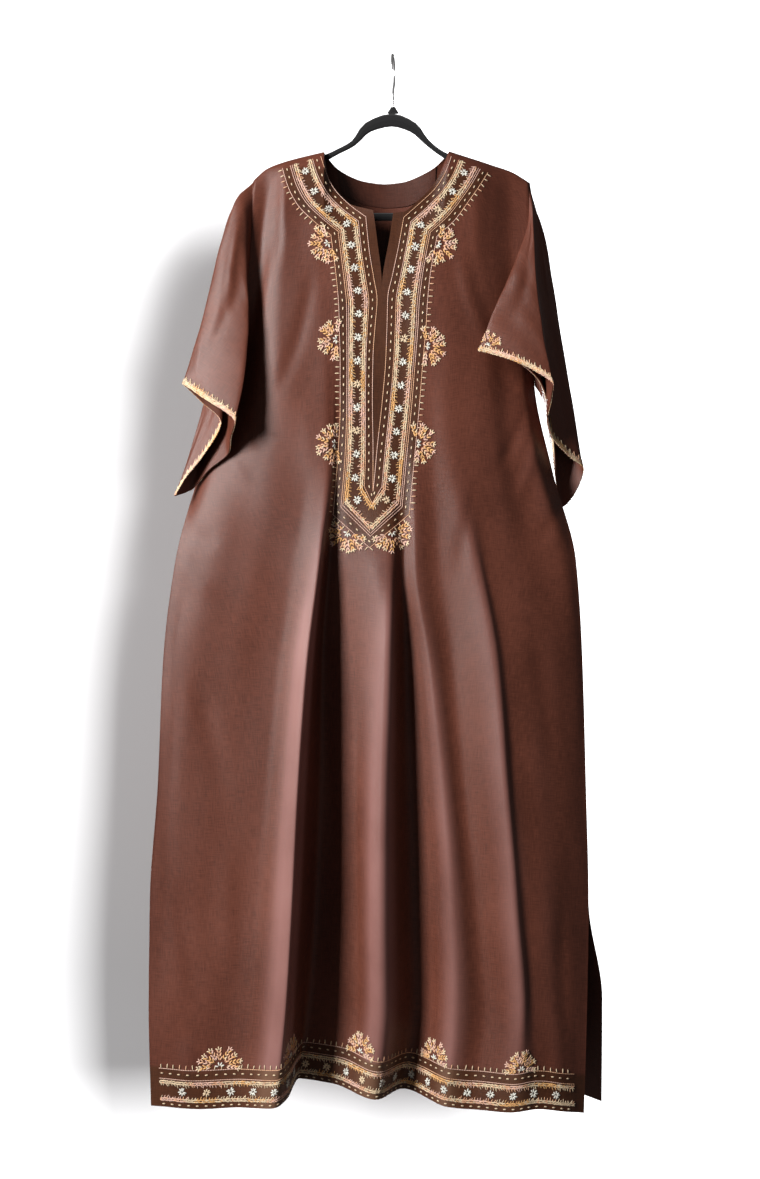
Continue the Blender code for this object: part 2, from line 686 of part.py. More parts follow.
def make_hanger(material):
    """Flocked loop: arch, two arms, two notched tips and the bar below, in one piece."""
    count = len(HANGER_LOOP)
    at = np.arange(count * HANGER_STEPS) / HANGER_STEPS
    x = round_loop([row[1] for row in HANGER_LOOP], at)
    z = round_loop([row[2] for row in HANGER_LOOP], at)
    tall = round_loop([row[3] for row in HANGER_LOOP], at)
    ahead_x = np.roll(x, -1) - np.roll(x, 1)
    ahead_z = np.roll(z, -1) - np.roll(z, 1)
    length = np.hypot(ahead_x, ahead_z)
    out_x = ahead_z / length
    out_z = -ahead_x / length
    mesh = bmesh.new()
    rings = []
    for place in range(len(at)):
        ring = []
        for corner in range(HANGER_SIDES):
            turn = 2 * math.pi * corner / HANGER_SIDES
            out = math.cos(turn) * tall[place] / 2
            deep = math.sin(turn) * HANGER_THICK / 2
            spot = (x[place] + out_x[place] * out, deep, z[place] + out_z[place] * out)
            ring.append(mesh.verts.new([value * MM for value in spot]))
        rings.append(ring)
    for place, ring in enumerate(rings):
        following = rings[(place + 1) % len(rings)]
        for corner in range(HANGER_SIDES):
            other = (corner + 1) % HANGER_SIDES
            mesh.faces.new((ring[corner], ring[other], following[other], following[corner]))
    bmesh.ops.recalc_face_normals(mesh, faces=mesh.faces[:])
    data = bpy.data.meshes.new("hanger_body")
    mesh.to_mesh(data)
    mesh.free()
    data.materials.append(material)
    data.shade_smooth()
    thing = bpy.data.objects.new("hanger_body", data)
    bpy.context.scene.collection.objects.link(thing)


def make_collar(material):
    """Small oval cone that stands on the arch and holds the hook."""
    depth = (COLLAR_TOP_Z - COLLAR_FOOT_Z) * MM
    middle = (COLLAR_TOP_Z + COLLAR_FOOT_Z) / 2 * MM
    mesh = bmesh.new()
    bmesh.ops.create_cone(mesh, cap_ends=True, segments=COLLAR_SIDES, radius1=COLLAR_FOOT_RADIUS * MM,
                          radius2=COLLAR_TOP_RADIUS * MM, depth=depth)
    for vert in mesh.verts:
        if vert.co.z < 0:
            vert.co.y *= COLLAR_SQUASH
        vert.co.z += middle
    data = bpy.data.meshes.new("hook_collar")
    mesh.to_mesh(data)
    mesh.free()
    data.materials.append(material)
    data.shade_smooth()
    data.set_sharp_from_angle(angle=SHARP_EDGE)
    thing = bpy.data.objects.new("hook_collar", data)
    bpy.context.scene.collection.objects.link(thing)


def make_hook(material):
    """Round wire bent like a question mark, its plane turned nearly edge-on to the front."""
    radius = HOOK_INNER_RADIUS + HOOK_WIRE / 2
    centre_z = -HOOK_INNER_RADIUS
    path = list(HOOK_STEM)
    for step in range(HOOK_ARC_STEPS + 1):
        angle = HOOK_ARC_START + (HOOK_ARC_END - HOOK_ARC_START) * step / HOOK_ARC_STEPS
        path.append((radius * math.cos(angle), centre_z + radius * math.sin(angle)))
    curve = bpy.data.curves.new("hanger_hook", "CURVE")
    curve.dimensions = "3D"
    curve.bevel_depth = HOOK_WIRE / 2 * MM
    curve.bevel_resolution = 2
    curve.use_fill_caps = True
    spline = curve.splines.new("POLY")
    spline.points.add(len(path) - 1)
    for point, (out, z) in zip(spline.points, path):
        x = out * math.cos(HOOK_TURN)
        y = out * math.sin(HOOK_TURN)
        point.co = (x * MM, y * MM, z * MM, 1)
    curve.materials.append(material)
    thing = bpy.data.objects.new("hanger_hook", curve)
    bpy.context.scene.collection.objects.link(thing)


def main():
    clear_scene()
    cotton = make_material("brown_cotton", CLOTH_BROWN, 0.85)
    flock = make_material("black_flock", FLOCK_BLACK, 0.95)
    steel = make_material("bright_steel", STEEL, 0.2, 1.0)
    make_front(cotton)
    back = make_back(cotton)
    make_sleeve("sleeve_left", SLEEVE_LEFT, ARMHOLE_LEFT, -1, cotton)
    make_sleeve("sleeve_right", SLEEVE_RIGHT, ARMHOLE_RIGHT, 1, cotton)
    make_facing(back, cotton)
    make_hanger(flock)
    make_collar(flock)
    make_hook(steel)


main()
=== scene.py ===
import json
import math

import bpy
import numpy as np
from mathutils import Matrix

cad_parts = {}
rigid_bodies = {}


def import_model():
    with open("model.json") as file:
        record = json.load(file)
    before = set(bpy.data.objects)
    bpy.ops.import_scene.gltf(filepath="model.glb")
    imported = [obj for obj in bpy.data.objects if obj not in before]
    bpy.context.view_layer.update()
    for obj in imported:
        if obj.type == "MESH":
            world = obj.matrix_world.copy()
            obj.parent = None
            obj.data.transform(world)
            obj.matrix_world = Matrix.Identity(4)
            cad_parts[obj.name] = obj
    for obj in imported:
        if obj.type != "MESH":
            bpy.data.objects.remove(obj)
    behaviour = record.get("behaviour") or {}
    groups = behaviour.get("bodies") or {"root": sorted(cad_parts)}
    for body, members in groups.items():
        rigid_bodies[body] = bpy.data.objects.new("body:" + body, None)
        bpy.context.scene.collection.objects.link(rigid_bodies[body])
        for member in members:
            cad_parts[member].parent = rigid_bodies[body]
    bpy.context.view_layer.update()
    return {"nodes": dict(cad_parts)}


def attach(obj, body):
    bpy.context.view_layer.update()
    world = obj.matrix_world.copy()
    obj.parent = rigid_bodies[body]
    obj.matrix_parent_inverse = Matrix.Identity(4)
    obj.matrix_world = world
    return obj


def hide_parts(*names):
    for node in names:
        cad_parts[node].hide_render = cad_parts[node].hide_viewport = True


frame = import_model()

# Front panel: one length of plain-woven brown cotton from the shoulders to the hem, slit at
# the neck. It hangs from the shoulder seams in long folds. Sizes are in millimetres; each
# fold line has a top (x, z, depth), then its x and its depth at the levels below.
LEVELS = (-278, -357, -500, -628, -765, -915, -1100, -1280, -1430)
SHOULDER_ROLL = 0.35
NECK_DEPTH = 22
WALL = 1.1
SEAM_HALF_GAP = 0.15

SHOULDER_LEFT = (
    ("tip", -211, -187),
    ("slope", -191, -170),
    ("middle", -164, -160),
    ("neck", -105, -145),
)
SHOULDER_RIGHT = (
    ("neck", 85, -144),
    ("middle", 147, -164),
    ("slope", 180, -175),
    ("tip", 208, -192),
)
ARMHOLE_LEFT = (
    ("tip", -211, -187, 0, 0),
    ("cap", -212, -206, -7, 6),
    ("chest", -214, -278, -14, 14),
    ("middle", -220, -354, -18, 16),
    ("low", -236, -438, -12, 12),
    ("underarm", -251, -500, 0, 0),
)
ARMHOLE_RIGHT = (
    ("tip", 208, -192, 0, 0),
    ("cap", 206, -212, -7, 6),
    ("chest", 204, -278, -14, 14),
    ("middle", 208, -354, -18, 16),
    ("low", 212, -438, -12, 12),
    ("underarm", 215, -500, 0, 0),
)
FRONT_LEFT = (
    ("side", (-211, -187, 0),
     (-214, -220, -251, -293, -327, -345, -353, -365, -366, -362),
     (-14, -18, 0, 0, -22, -26, -26, -26, -30, -33)),
    ("side ridge", (-196, -174, 0),
     (-199, -205, -228, -268, -302, -328, -336, -345, -346, -340),
     (-12, -15, -14, -20, -29, -29, -27, -27, -32, -35)),
    ("soft ridge", (-180, -165, 0),
     (-179, -186, -201, -232, -266, -302, -311, -314, -318, -312),
     (-18, -27, -30, -31, -35, -32, -30, -30, -34, -38)),
    ("flat", (-163, -160, 0),
     (-160, -164, -170, -187, -210, -230, -238, -243, -250, -260),
     (-28, -32, -37, -38, -38, -34, -32, -32, -36, -40)),
    ("fold foot", (-140, -154, 0),
     (-137, -136, -136, -137, -151, -170, -188, -203, -218, -234),
     (-29, -33, -38, -42, -41, -37, -36, -37, -40, -43)),
    ("fold crest", (-120, -149, 0),
     (-114, -109, -104, -100, -111, -129, -142, -151, -160, -176),
     (-30, -34, -39, -45, -53, -60, -64, -66, -66, -64)),
    ("fold edge", (-105, -145, 0),
     (-102, -96, -91, -92, -105, -121, -134, -143, -152, -158),
     (-30, -34, -38, -43, -47, -48, -48, -48, -46, -38)),
    ("fold valley", (-96, -193, -11),
     (-90, -85, -81, -84, -95, -106, -109, -116, -126, -144),
     (-30, -34, -37, -37, -24, -4, 8, 16, 20, 22)),
    ("valley side", (-68, -228, -20),
     (-66, -65, -62, -64, -66, -66, -64, -62, -62, -84),
     (-29, -34, -37, -39, -35, -23, -14, -9, -6, -2)),
    ("centre", (-30, -240, -25),
     (-25, -17, -18, -20, -6, -9, -15, -17, -16, -28),
     (-27, -32, -36, -40, -47, -54, -54, -51, -47, -42)),
)
FRONT_RIGHT = (
    ("centre", (0, -244, -25),
     (-5, -17, -18, -20, -6, -9, -15, -17, -16, -28),
     (-27, -32, -36, -40, -47, -54, -54, -51, -47, -42)),
    ("second valley", (16, -242, -25),
     (9, 8, 11, 13, 15, 20, 26, 32, 36, 18),
     (-26, -32, -36, -38, -35, -20, -8, -1, 5, 12)),
    ("second ridge", (36, -226, -22),
     (30, 29, 31, 32, 34, 55, 75, 89, 94, 80),
     (-27, -33, -37, -41, -45, -44, -43, -43, -44, -44)),
    ("soft valley", (62, -197, -15),
     (50, 51, 54, 56, 64, 84, 103, 121, 132, 112),
     (-28, -34, -38, -40, -41, -39, -37, -37, -39, -44)),
    ("third ridge", (85, -144, 0),
     (74, 76, 79, 89, 121, 149, 164, 178, 188, 178),
     (-29, -35, -39, -44, -53, -60, -64, -65, -65, -62)),
    ("ridge foot", (108, -151, 0),
     (96, 100, 108, 119, 138, 164, 178, 193, 204, 212),
     (-29, -34, -38, -41, -47, -53, -56, -57, -57, -55)),
    ("flat", (128, -158, 0),
     (119, 126, 139, 153, 177, 203, 219, 230, 238, 244),
     (-29, -33, -36, -37, -42, -47, -50, -51, -51, -50)),
    ("side valley", (150, -165, 0),
     (147, 153, 166, 180, 218, 248, 250, 254, 258, 264),
     (-22, -27, -28, -29, -34, -40, -42, -43, -43, -43)),
    ("side ridge", (182, -176, 0),
     (180, 186, 194, 214, 252, 270, 272, 276, 275, 276),
     (-13, -17, -22, -26, -30, -33, -34, -34, -36, -37)),
    ("side", (208, -192, 0),
     (204, 208, 215, 242, 275, 284, 289, 293, 290, 285),
     (-14, -18, 0, 0, -20, -25, -26, -26, -30, -33)),
)
FRONT_HEM = (
    (-362, -1580), (-290, -1583), (-235, -1579), (-206, -1576), (-158, -1568),
    (-144, -1560), (-98, -1560), (-38, -1567), (23, -1572), (80, -1578),
    (112, -1581), (158, -1580), (208, -1577), (264, -1586), (285, -1591),
)
FRONT_CELLS = (22, 8, 20, 18, 20, 22, 24, 22, 16, 24)
FRONT_COLUMNS_PER_FOLD = 8

# Creases: x and z of both ends, half width, depth (a trough is negative) and how far it bows.
FRONT_CREASES = (
    ("left shoulder pull", -178, -182, -205, -330, 9, -1.6, 6),
    ("left shoulder ridge", -160, -185, -176, -360, 8, 1.2, 4),
    ("left chest drag", -120, -330, -175, -520, 11, -1.7, -8),
    ("left side break", -235, -540, -190, -600, 10, -1.6, 3),
    ("left side ridge", -262, -585, -215, -650, 9, 1.4, 4),
    ("left hip sag", -330, -700, -262, -742, 13, -1.6, 5),
    ("left hip ridge", -322, -760, -270, -820, 12, 1.3, 5),
    ("left thigh trough", -300, -940, -255, -1130, 14, -1.5, -7),
    ("left shin trough", -320, -1250, -290, -1430, 13, -1.5, 6),
    ("left shin ridge", -250, -1180, -240, -1400, 14, 1.3, 5),
    ("under the band left", -72, -770, -80, -900, 9, -1.2, 3),
    ("under the band", -30, -762, -26, -830, 8, 1.1, -2),
    ("under the band right", 4, -760, 28, -880, 8, -1.3, 4),
    ("right chest drag", 118, -300, 172, -470, 11, -1.7, 8),
    ("right chest ridge", 96, -290, 140, -440, 10, 1.2, 6),
    ("right underarm pull", 205, -520, 150, -640, 9, -1.7, -5),
    ("right underarm ridge", 222, -560, 178, -690, 8, 1.4, -5),
    ("right waist break", 262, -680, 215, -742, 10, -1.5, 4),
    ("right waist trough", 120, -660, 96, -800, 10, -1.2, 4),
    ("right hip trough", 205, -860, 232, -1080, 12, -1.3, -6),
    ("right thigh ridge", 180, -1060, 196, -1270, 12, 1.2, 5),
    ("right shin trough", 250, -1290, 256, -1470, 12, -1.3, 5),
    ("second fold break", 60, -1150, 70, -1310, 9, -1.2, -3),
    ("valley break left", -100, -1010, -88, -1210, 9, -1.3, 3),
    ("hem kick left", -310, -1480, -300, -1560, 15, 1.6, 3),
    ("hem kick right", 225, -1490, 235, -1560, 13, -1.4, 3),
)


def smooth(knots, values, at):
    """Cubic through the values with no overshoot, so a fold stays where it is named."""
    knots = np.asarray(knots, dtype=float)
    values = np.asarray(values, dtype=float)
    at = np.asarray(at, dtype=float)
    if knots[0] > knots[-1]:
        knots = knots[::-1]
        values = values[::-1]
    gaps = np.diff(knots)
    steps = np.diff(values) / gaps
    slopes = np.zeros_like(values)
    slopes[0] = steps[0]
    slopes[-1] = steps[-1]
    same_way = steps[:-1] * steps[1:] > 0
    before = 2 * gaps[1:] + gaps[:-1]
    after = gaps[1:] + 2 * gaps[:-1]
    first = np.where(same_way, steps[:-1], 1.0)
    second = np.where(same_way, steps[1:], 1.0)
    mean = (before + after) / (before / first + after / second)
    slopes[1:-1] = np.where(same_way, mean, 0.0)
    place = np.clip(np.searchsorted(knots, at, side="right") - 1, 0, len(gaps) - 1)
    t = np.clip((at - knots[place]) / gaps[place], 0, 1)
    level = values[place] * (2 * t**3 - 3 * t**2 + 1) + values[place + 1] * (3 * t**2 - 2 * t**3)
    bend = slopes[place] * (t**3 - 2 * t**2 + t) + slopes[place + 1] * (t**3 - t**2)
    return level + bend * gaps[place]


def shoulder_height(x):
    table = SHOULDER_LEFT if x < 0 else SHOULDER_RIGHT
    return float(smooth([row[1] for row in table], [row[2] for row in table], x))


def armhole_point(table, z, half):
    """x and depth of the armhole seam at height z, on its front or its back half."""
    heights = [row[2] for row in table]
    x = smooth(heights, [row[1] for row in table], z)
    y = smooth(heights, [row[3 if half == "front" else 4] for row in table], z)
    return float(x), float(y) + (-SEAM_HALF_GAP if half == "front" else SEAM_HALF_GAP)


def top_points(lines, fine):
    """x, z and depth where each column of a panel starts, on the shoulder or on the neckline."""
    tops = np.array([row[1] for row in lines], dtype=float)
    neckline = [index for index, top in enumerate(tops) if top[2] != 0]
    first = max(neckline[0] - 1, 0)
    last = min(neckline[-1] + 1, len(lines) - 1)
    run = np.arange(first, last + 1)
    turn = -1 if tops[neckline[0], 2] < 0 else 1
    points = []
    for at in fine:
        below = first < at < last
        below = at < last if tops[first, 2] != 0 else below
        below = at > first if tops[last, 2] != 0 else below
        if below:
            depth = turn * math.sqrt(max(float(smooth(run, tops[run, 2] ** 2, at)), 0))
            points.append((float(smooth(run, tops[run, 0], at)),
                           float(smooth(run, tops[run, 1], at)), depth))
        else:
            x = float(np.interp(at, np.arange(len(lines)), tops[:, 0]))
            points.append((x, shoulder_height(x), 0.0))
    return points


def level_values(lines, column, beyond):
    """Values of the fold lines at every level. Below the slit foot both halves are one run."""
    knots = np.arange(len(lines))
    fine = np.linspace(0, len(lines) - 1, (len(lines) - 1) * FRONT_COLUMNS_PER_FOLD + 1)
    rows = []
    for level in range(len(LEVELS) + 1):
        values = [row[column][level] for row in lines]
        if beyond is None or level == 0:
            rows.append(smooth(knots, values, fine))
            continue
        other = [row[column][level] for row in beyond]
        if beyond is FRONT_RIGHT:
            whole = values + other[1:]
            rows.append(smooth(np.arange(len(whole)), whole, fine))
        else:
            whole = other + values[1:]
            rows.append(smooth(np.arange(len(whole)), whole, fine + len(other) - 1))
    return rows


def panel_grid(lines, hem, half, cells, sides, beyond=None):
    """Points of a panel, columns first and each from the top down, through its fold lines."""
    fine = np.linspace(0, len(lines) - 1, (len(lines) - 1) * FRONT_COLUMNS_PER_FOLD + 1)
    gap = -SEAM_HALF_GAP if half == "front" else SEAM_HALF_GAP
    xs = level_values(lines, 2, beyond)
    ys = level_values(lines, 3, beyond)
    hem_z = smooth([row[0] for row in hem], [row[1] for row in hem], xs[-1])
    columns = []
    for place, (top_x, top_z, depth) in enumerate(top_points(lines, fine)):
        marks = [top_z, *LEVELS, float(hem_z[place])]
        heights = []
        for index, count in enumerate(cells):
            share = np.arange(count) / count
            share = share**2 if index == 0 else share
            heights.extend(marks[index] + (marks[index + 1] - marks[index]) * share)
        heights = np.array([*heights, marks[-1]])
        x = smooth(marks, [top_x] + [row[place] for row in xs], heights)
        y = smooth(marks[1:], [row[place] for row in ys], heights)
        roll = SHOULDER_ROLL + (1 - SHOULDER_ROLL) * min(abs(depth) / NECK_DEPTH, 1)
        share = np.clip((top_z - heights) / (top_z - LEVELS[0]), 0, 1)
        y = np.where(heights > LEVELS[0], depth + (ys[0][place] - depth) * share**roll, y)
        if depth == 0:
            y[0] = gap
        table = None
        if place == 0 and "left" in sides:
            table = ARMHOLE_LEFT
        if place == len(fine) - 1 and "right" in sides:
            table = ARMHOLE_RIGHT
        if table:
            for row, z in enumerate(heights):
                if z > table[-1][2]:
                    x[row], y[row] = armhole_point(table, z, half)
                else:
                    y[row] += gap
        columns.append(np.column_stack([x, y, heights]))
    return np.array(columns)


def crease(grid, table, outward, edge=14):
    """Presses soft troughs and ridges into a panel, less and less towards its side seams."""
    x = grid[..., 0]
    z = grid[..., 2]
    push = 0.35 * np.sin(x / 23 + 1.3 * np.sin(z / 97)) * np.sin(z / 61 + x / 80)
    push += 0.3 * np.sin(x / 11.7 + z / 143) * np.sin(z / 37 - x / 51)
    for _, x0, z0, x1, z1, half_width, depth, bow in table:
        length = math.hypot(x1 - x0, z1 - z0)
        along = ((x - x0) * (x1 - x0) + (z - z0) * (z1 - z0)) / length**2
        across = ((x - x0) * (z1 - z0) - (z - z0) * (x1 - x0)) / length
        across = across - bow * np.sin(np.pi * np.clip(along, 0, 1))
        inside = np.clip(np.minimum(along, 1 - along) * 2.2 + 0.25, 0, 1)
        push += depth * np.exp(-(across / half_width) ** 2) * inside**2 * (3 - 2 * inside)
    reach = np.cumsum(np.linalg.norm(np.diff(grid, axis=0, prepend=grid[:1]), axis=2), axis=0)
    side = np.minimum(reach, reach[-1] - reach)
    fall = np.clip(np.minimum(side / edge, (grid[:, :1, 2] - z) / 30), 0, 1)
    grid[..., 1] += outward * push * fall
    return grid


def cloth_sheet(name, grid, wall=WALL, flip=False):
    """A primitive grid laid through the points and mapped by thread lengths; the wall argument is
    not used.
    """
    columns, rows = grid.shape[:2]
    bpy.ops.object.select_all(action="DESELECT")
    bpy.ops.mesh.primitive_grid_add(x_subdivisions=columns - 1, y_subdivisions=rows - 1, size=1)
    piece = bpy.context.object
    piece.name = name
    piece.data.name = name
    laid = grid[::-1] if flip else grid
    laid = laid[:, ::-1].transpose(1, 0, 2)
    piece.data.vertices.foreach_set("co", (laid * 0.001).ravel())
    across = np.cumsum(np.linalg.norm(np.diff(laid, axis=1, prepend=laid[:, :1]), axis=2), axis=1)
    across -= across[:, columns // 2:columns // 2 + 1]
    up = np.cumsum(np.linalg.norm(np.diff(laid, axis=0, prepend=laid[:1]), axis=2), axis=0)
    threads = np.stack([across, up], axis=2).reshape(-1, 2) * 0.001
    corner = np.zeros(len(piece.data.loops), dtype=int)
    piece.data.loops.foreach_get("vertex_index", corner)
    piece.data.uv_layers[0].name = "cloth"
    piece.data.uv_layers["cloth"].data.foreach_set("uv", threads[corner].ravel())
    piece.data.update()
    return piece


def finish_sheet(piece, wall=WALL):
    """Gives a sheet its thickness on the inner side and smooths its shading."""
    thicken = piece.modifiers.new("wall", "SOLIDIFY")
    thicken.thickness = wall * 0.001
    thicken.offset = -1
    bpy.context.view_layer.objects.active = piece
    bpy.ops.object.modifier_apply(modifier="wall")
    bpy.ops.object.select_all(action="DESELECT")
    piece.select_set(True)
    bpy.ops.object.shade_smooth_by_angle(angle=math.radians(50))
    piece.select_set(False)


def paint_crest_sheen(piece, grid, reach=42, height=12):
    """Marks cloth that stands out from what is beside it, for a painted highlight: the crests are
    painted paler to stand for their sheen.
    """
    share = np.zeros(grid.shape[:2])
    for row in range(grid.shape[1]):
        x = grid[:, row, 0]
        near = np.exp(-((x[:, None] - x) / reach) ** 2) * np.abs(np.gradient(x))
        share[:, row] = (near @ grid[:, row, 1] / near.sum(axis=1) - grid[:, row, 1]) / height
    share = np.clip(share, 0, 1) ** 1.4 * np.clip((-520 - grid[..., 2]) / 200, 0, 1)
    marks = piece.data.attributes.new("fold_crest", "FLOAT", "POINT")
    marks.data.foreach_set("value", share[:, ::-1].T.ravel())


def cotton_material(name, shade=1.0):
    """Plain-woven cotton with slubs, a pinkish sheen and faint uneven dye, a painted highlight
    paling its fold crests and painted shade darkening its embroidered grounds; a shade below 1
    gives a darker copy for painted shade.
    """
    material = bpy.data.materials.new(name)
    material.use_nodes = True
    nodes = material.node_tree.nodes
    links = material.node_tree.links
    shader = nodes["Principled BSDF"]
    shader.inputs["Specular IOR Level"].default_value = 0.45
    shader.inputs["Sheen Weight"].default_value = 0.08
    shader.inputs["Sheen Roughness"].default_value = 0.38
    shader.inputs["Sheen Tint"].default_value = (1.0, 0.74, 0.70, 1)
    place = nodes.new("ShaderNodeUVMap")
    place.uv_map = "cloth"

    def noise(scale, stretch, detail):
        turn = nodes.new("ShaderNodeMapping")
        turn.inputs["Scale"].default_value = stretch
        links.new(place.outputs["UV"], turn.inputs["Vector"])
        grain = nodes.new("ShaderNodeTexNoise")
        grain.inputs["Scale"].default_value = scale
        grain.inputs["Detail"].default_value = detail
        links.new(turn.outputs["Vector"], grain.inputs["Vector"])
        return grain.outputs["Fac"]

    def threads(direction):
        wave = nodes.new("ShaderNodeTexWave")
        wave.bands_direction = direction
        wave.inputs["Scale"].default_value = 560
        wave.inputs["Distortion"].default_value = 1.2
        wave.inputs["Detail Scale"].default_value = 0.6
        links.new(place.outputs["UV"], wave.inputs["Vector"])
        return wave.outputs["Fac"]

    def blend(kind, first, second, factor=1.0):
        step = nodes.new("ShaderNodeMath")
        step.operation = kind
        for socket, value in zip(step.inputs, (first, second)):
            if isinstance(value, (int, float)):
                socket.default_value = value
            else:
                links.new(value, socket)
        return step.outputs[0]

    slub_across = noise(1, (60, 900, 1), 3)
    slub_down = noise(1, (900, 50, 1), 3)
    dye = noise(9, (1, 0.6, 1), 4)
    slubs = blend("ADD", slub_across, slub_down)
    tone = blend("ADD", blend("MULTIPLY", slubs, 0.5), blend("MULTIPLY", dye, 0.5))
    ramp = nodes.new("ShaderNodeValToRGB")
    ramp.color_ramp.elements[0].position = 0.62
    ramp.color_ramp.elements[0].color = (0.098 * shade, 0.027 * shade, 0.015 * shade, 1)
    ramp.color_ramp.elements[1].position = 0.89
    ramp.color_ramp.elements[1].color = (0.178 * shade, 0.052 * shade, 0.030 * shade, 1)
    links.new(tone, ramp.inputs["Fac"])
    # Painted highlight: the marked fold crests are painted a paler pink for their sheen.
    crest = nodes.new("ShaderNodeAttribute")
    crest.attribute_name = "fold_crest"
    painted_sheen = nodes.new("ShaderNodeMix")
    painted_sheen.data_type = "RGBA"
    painted_sheen.inputs[7].default_value = (0.33, 0.156, 0.138, 1)
    links.new(blend("MULTIPLY", crest.outputs["Fac"], blend("ADD", dye, 0.25)), painted_sheen.inputs[0])
    links.new(ramp.outputs["Color"], painted_sheen.inputs[6])
    # Painted shade: the worked grounds are painted darker and more olive.
    worked = nodes.new("ShaderNodeAttribute")
    worked.attribute_name = "worked_ground"
    painted_band_shade = nodes.new("ShaderNodeMix")
    painted_band_shade.data_type = "RGBA"
    painted_band_shade.blend_type = "MULTIPLY"
    painted_band_shade.inputs[7].default_value = (0.62, 0.68, 0.46, 1)
    links.new(worked.outputs["Fac"], painted_band_shade.inputs[0])
    links.new(painted_sheen.outputs[2], painted_band_shade.inputs[6])
    links.new(painted_band_shade.outputs[2], shader.inputs["Base Color"])
    rough = blend("ADD", blend("MULTIPLY", dye, 0.10), 0.34)
    links.new(rough, shader.inputs["Roughness"])
    weave = blend("MULTIPLY", threads("X"), threads("Y"))
    height = blend("ADD", blend("MULTIPLY", weave, 0.6), blend("MULTIPLY", slubs, 0.5))
    bump = nodes.new("ShaderNodeBump")
    bump.inputs["Strength"].default_value = 0.28
    bump.inputs["Distance"].default_value = 0.0006
    links.new(height, bump.inputs["Height"])
    links.new(bump.outputs["Normal"], shader.inputs["Normal"])
    return material


cotton = cotton_material("brown_cotton_cloth")
left_half = panel_grid(FRONT_LEFT, FRONT_HEM, "front", FRONT_CELLS, "left", FRONT_RIGHT)
right_half = panel_grid(FRONT_RIGHT, FRONT_HEM, "front", FRONT_CELLS, "right", FRONT_LEFT)
slit_cells = FRONT_CELLS[0] + FRONT_CELLS[1]
front_grid = np.concatenate([left_half, right_half])
front_grid = crease(front_grid, FRONT_CREASES, -1)
centre = len(left_half)
middle = (front_grid[centre - 1, slit_cells:] + front_grid[centre, slit_cells:]) / 2
front_grid[centre - 1, slit_cells:] = middle
front_grid[centre, slit_cells:] = middle

front = cloth_sheet("front_cloth", front_grid)
paint_crest_sheen(front, front_grid)
front_columns = len(front_grid)
bpy.ops.object.mode_set(mode="EDIT")
bpy.ops.mesh.select_mode(type="FACE")
bpy.ops.mesh.select_all(action="DESELECT")
bpy.ops.object.mode_set(mode="OBJECT")
for face in front.data.polygons:
    face.select = face.index % (front_columns - 1) == centre - 1
bpy.ops.object.mode_set(mode="EDIT")
bpy.ops.mesh.delete(type="FACE")
bpy.ops.mesh.select_all(action="SELECT")
bpy.ops.mesh.remove_doubles(threshold=0.000002)
bpy.ops.object.mode_set(mode="OBJECT")
front.data.materials.append(cotton)
finish_sheet(front)
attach(front, "root")
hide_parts("front_panel")

# Back panel: a second length of the same cotton, in one piece from the shoulder seams to a
# hem that is longer at the side vents. It is sewn to the front at the shoulders and sides.
BACK = (
    ("side left", (-211, -187, 0),
     (-214, -220, -251, -293, -327, -345, -353, -365, -368, -366),
     (14, 17, 0, 0, -22, -26, -26, -26, -2, 14)),
    ("side panel left", (-180, -165, 0),
     (-176, -186, -207, -242, -277, -302, -310, -314, -316, -314),
     (20, 28, 31, 33, 34, 34, 38, 44, 50, 54)),
    ("ridge left", (-145, -155, 0),
     (-138, -150, -168, -192, -217, -240, -250, -256, -260, -264),
     (29, 35, 40, 46, 52, 58, 62, 66, 70, 72)),
    ("valley left", (-105, -145, 0),
     (-98, -106, -116, -134, -150, -164, -174, -180, -186, -192),
     (31, 36, 39, 42, 44, 44, 44, 46, 48, 50)),
    ("blade ridge left", (-82, -168, 13),
     (-62, -66, -73, -85, -96, -105, -112, -117, -122, -128),
     (32, 37, 42, 48, 54, 60, 64, 68, 71, 73)),
    ("centre valley left", (-44, -183, 22),
     (-30, -32, -34, -38, -42, -46, -50, -54, -58, -62),
     (33, 38, 41, 44, 46, 46, 46, 48, 50, 52)),
    ("centre", (-13, -186, 25),
     (-4, -2, 1, 4, 6, 8, 10, 12, 14, 14),
     (33, 38, 42, 47, 52, 56, 60, 64, 68, 70)),
    ("centre valley right", (14, -184, 23),
     (26, 30, 35, 42, 50, 58, 64, 68, 72, 74),
     (33, 38, 41, 43, 45, 46, 46, 48, 50, 52)),
    ("blade ridge right", (62, -165, 13),
     (58, 64, 72, 85, 99, 110, 119, 125, 131, 136),
     (32, 37, 42, 48, 54, 59, 63, 66, 69, 71)),
    ("valley right", (85, -144, 0),
     (90, 100, 110, 127, 146, 160, 170, 177, 183, 188),
     (31, 36, 39, 41, 43, 43, 43, 45, 47, 50)),
    ("ridge right", (130, -158, 0),
     (126, 140, 154, 178, 202, 217, 227, 234, 242, 248),
     (28, 34, 39, 45, 51, 56, 59, 61, 63, 65)),
    ("side panel right", (170, -171, 0),
     (168, 178, 188, 214, 242, 256, 263, 270, 280, 284),
     (19, 26, 30, 32, 33, 32, 34, 38, 44, 48)),
    ("side right", (208, -192, 0),
     (204, 208, 215, 242, 275, 284, 289, 293, 318, 320),
     (14, 17, 0, 0, -20, -25, -26, -26, 0, 18)),
)
BACK_HEM = ((-366, -1572), (-264, -1566), (-13, -1562), (188, -1572), (284, -1590), (320, -1593))
BACK_CELLS = (18, 6, 16, 14, 16, 18, 20, 18, 14, 18)
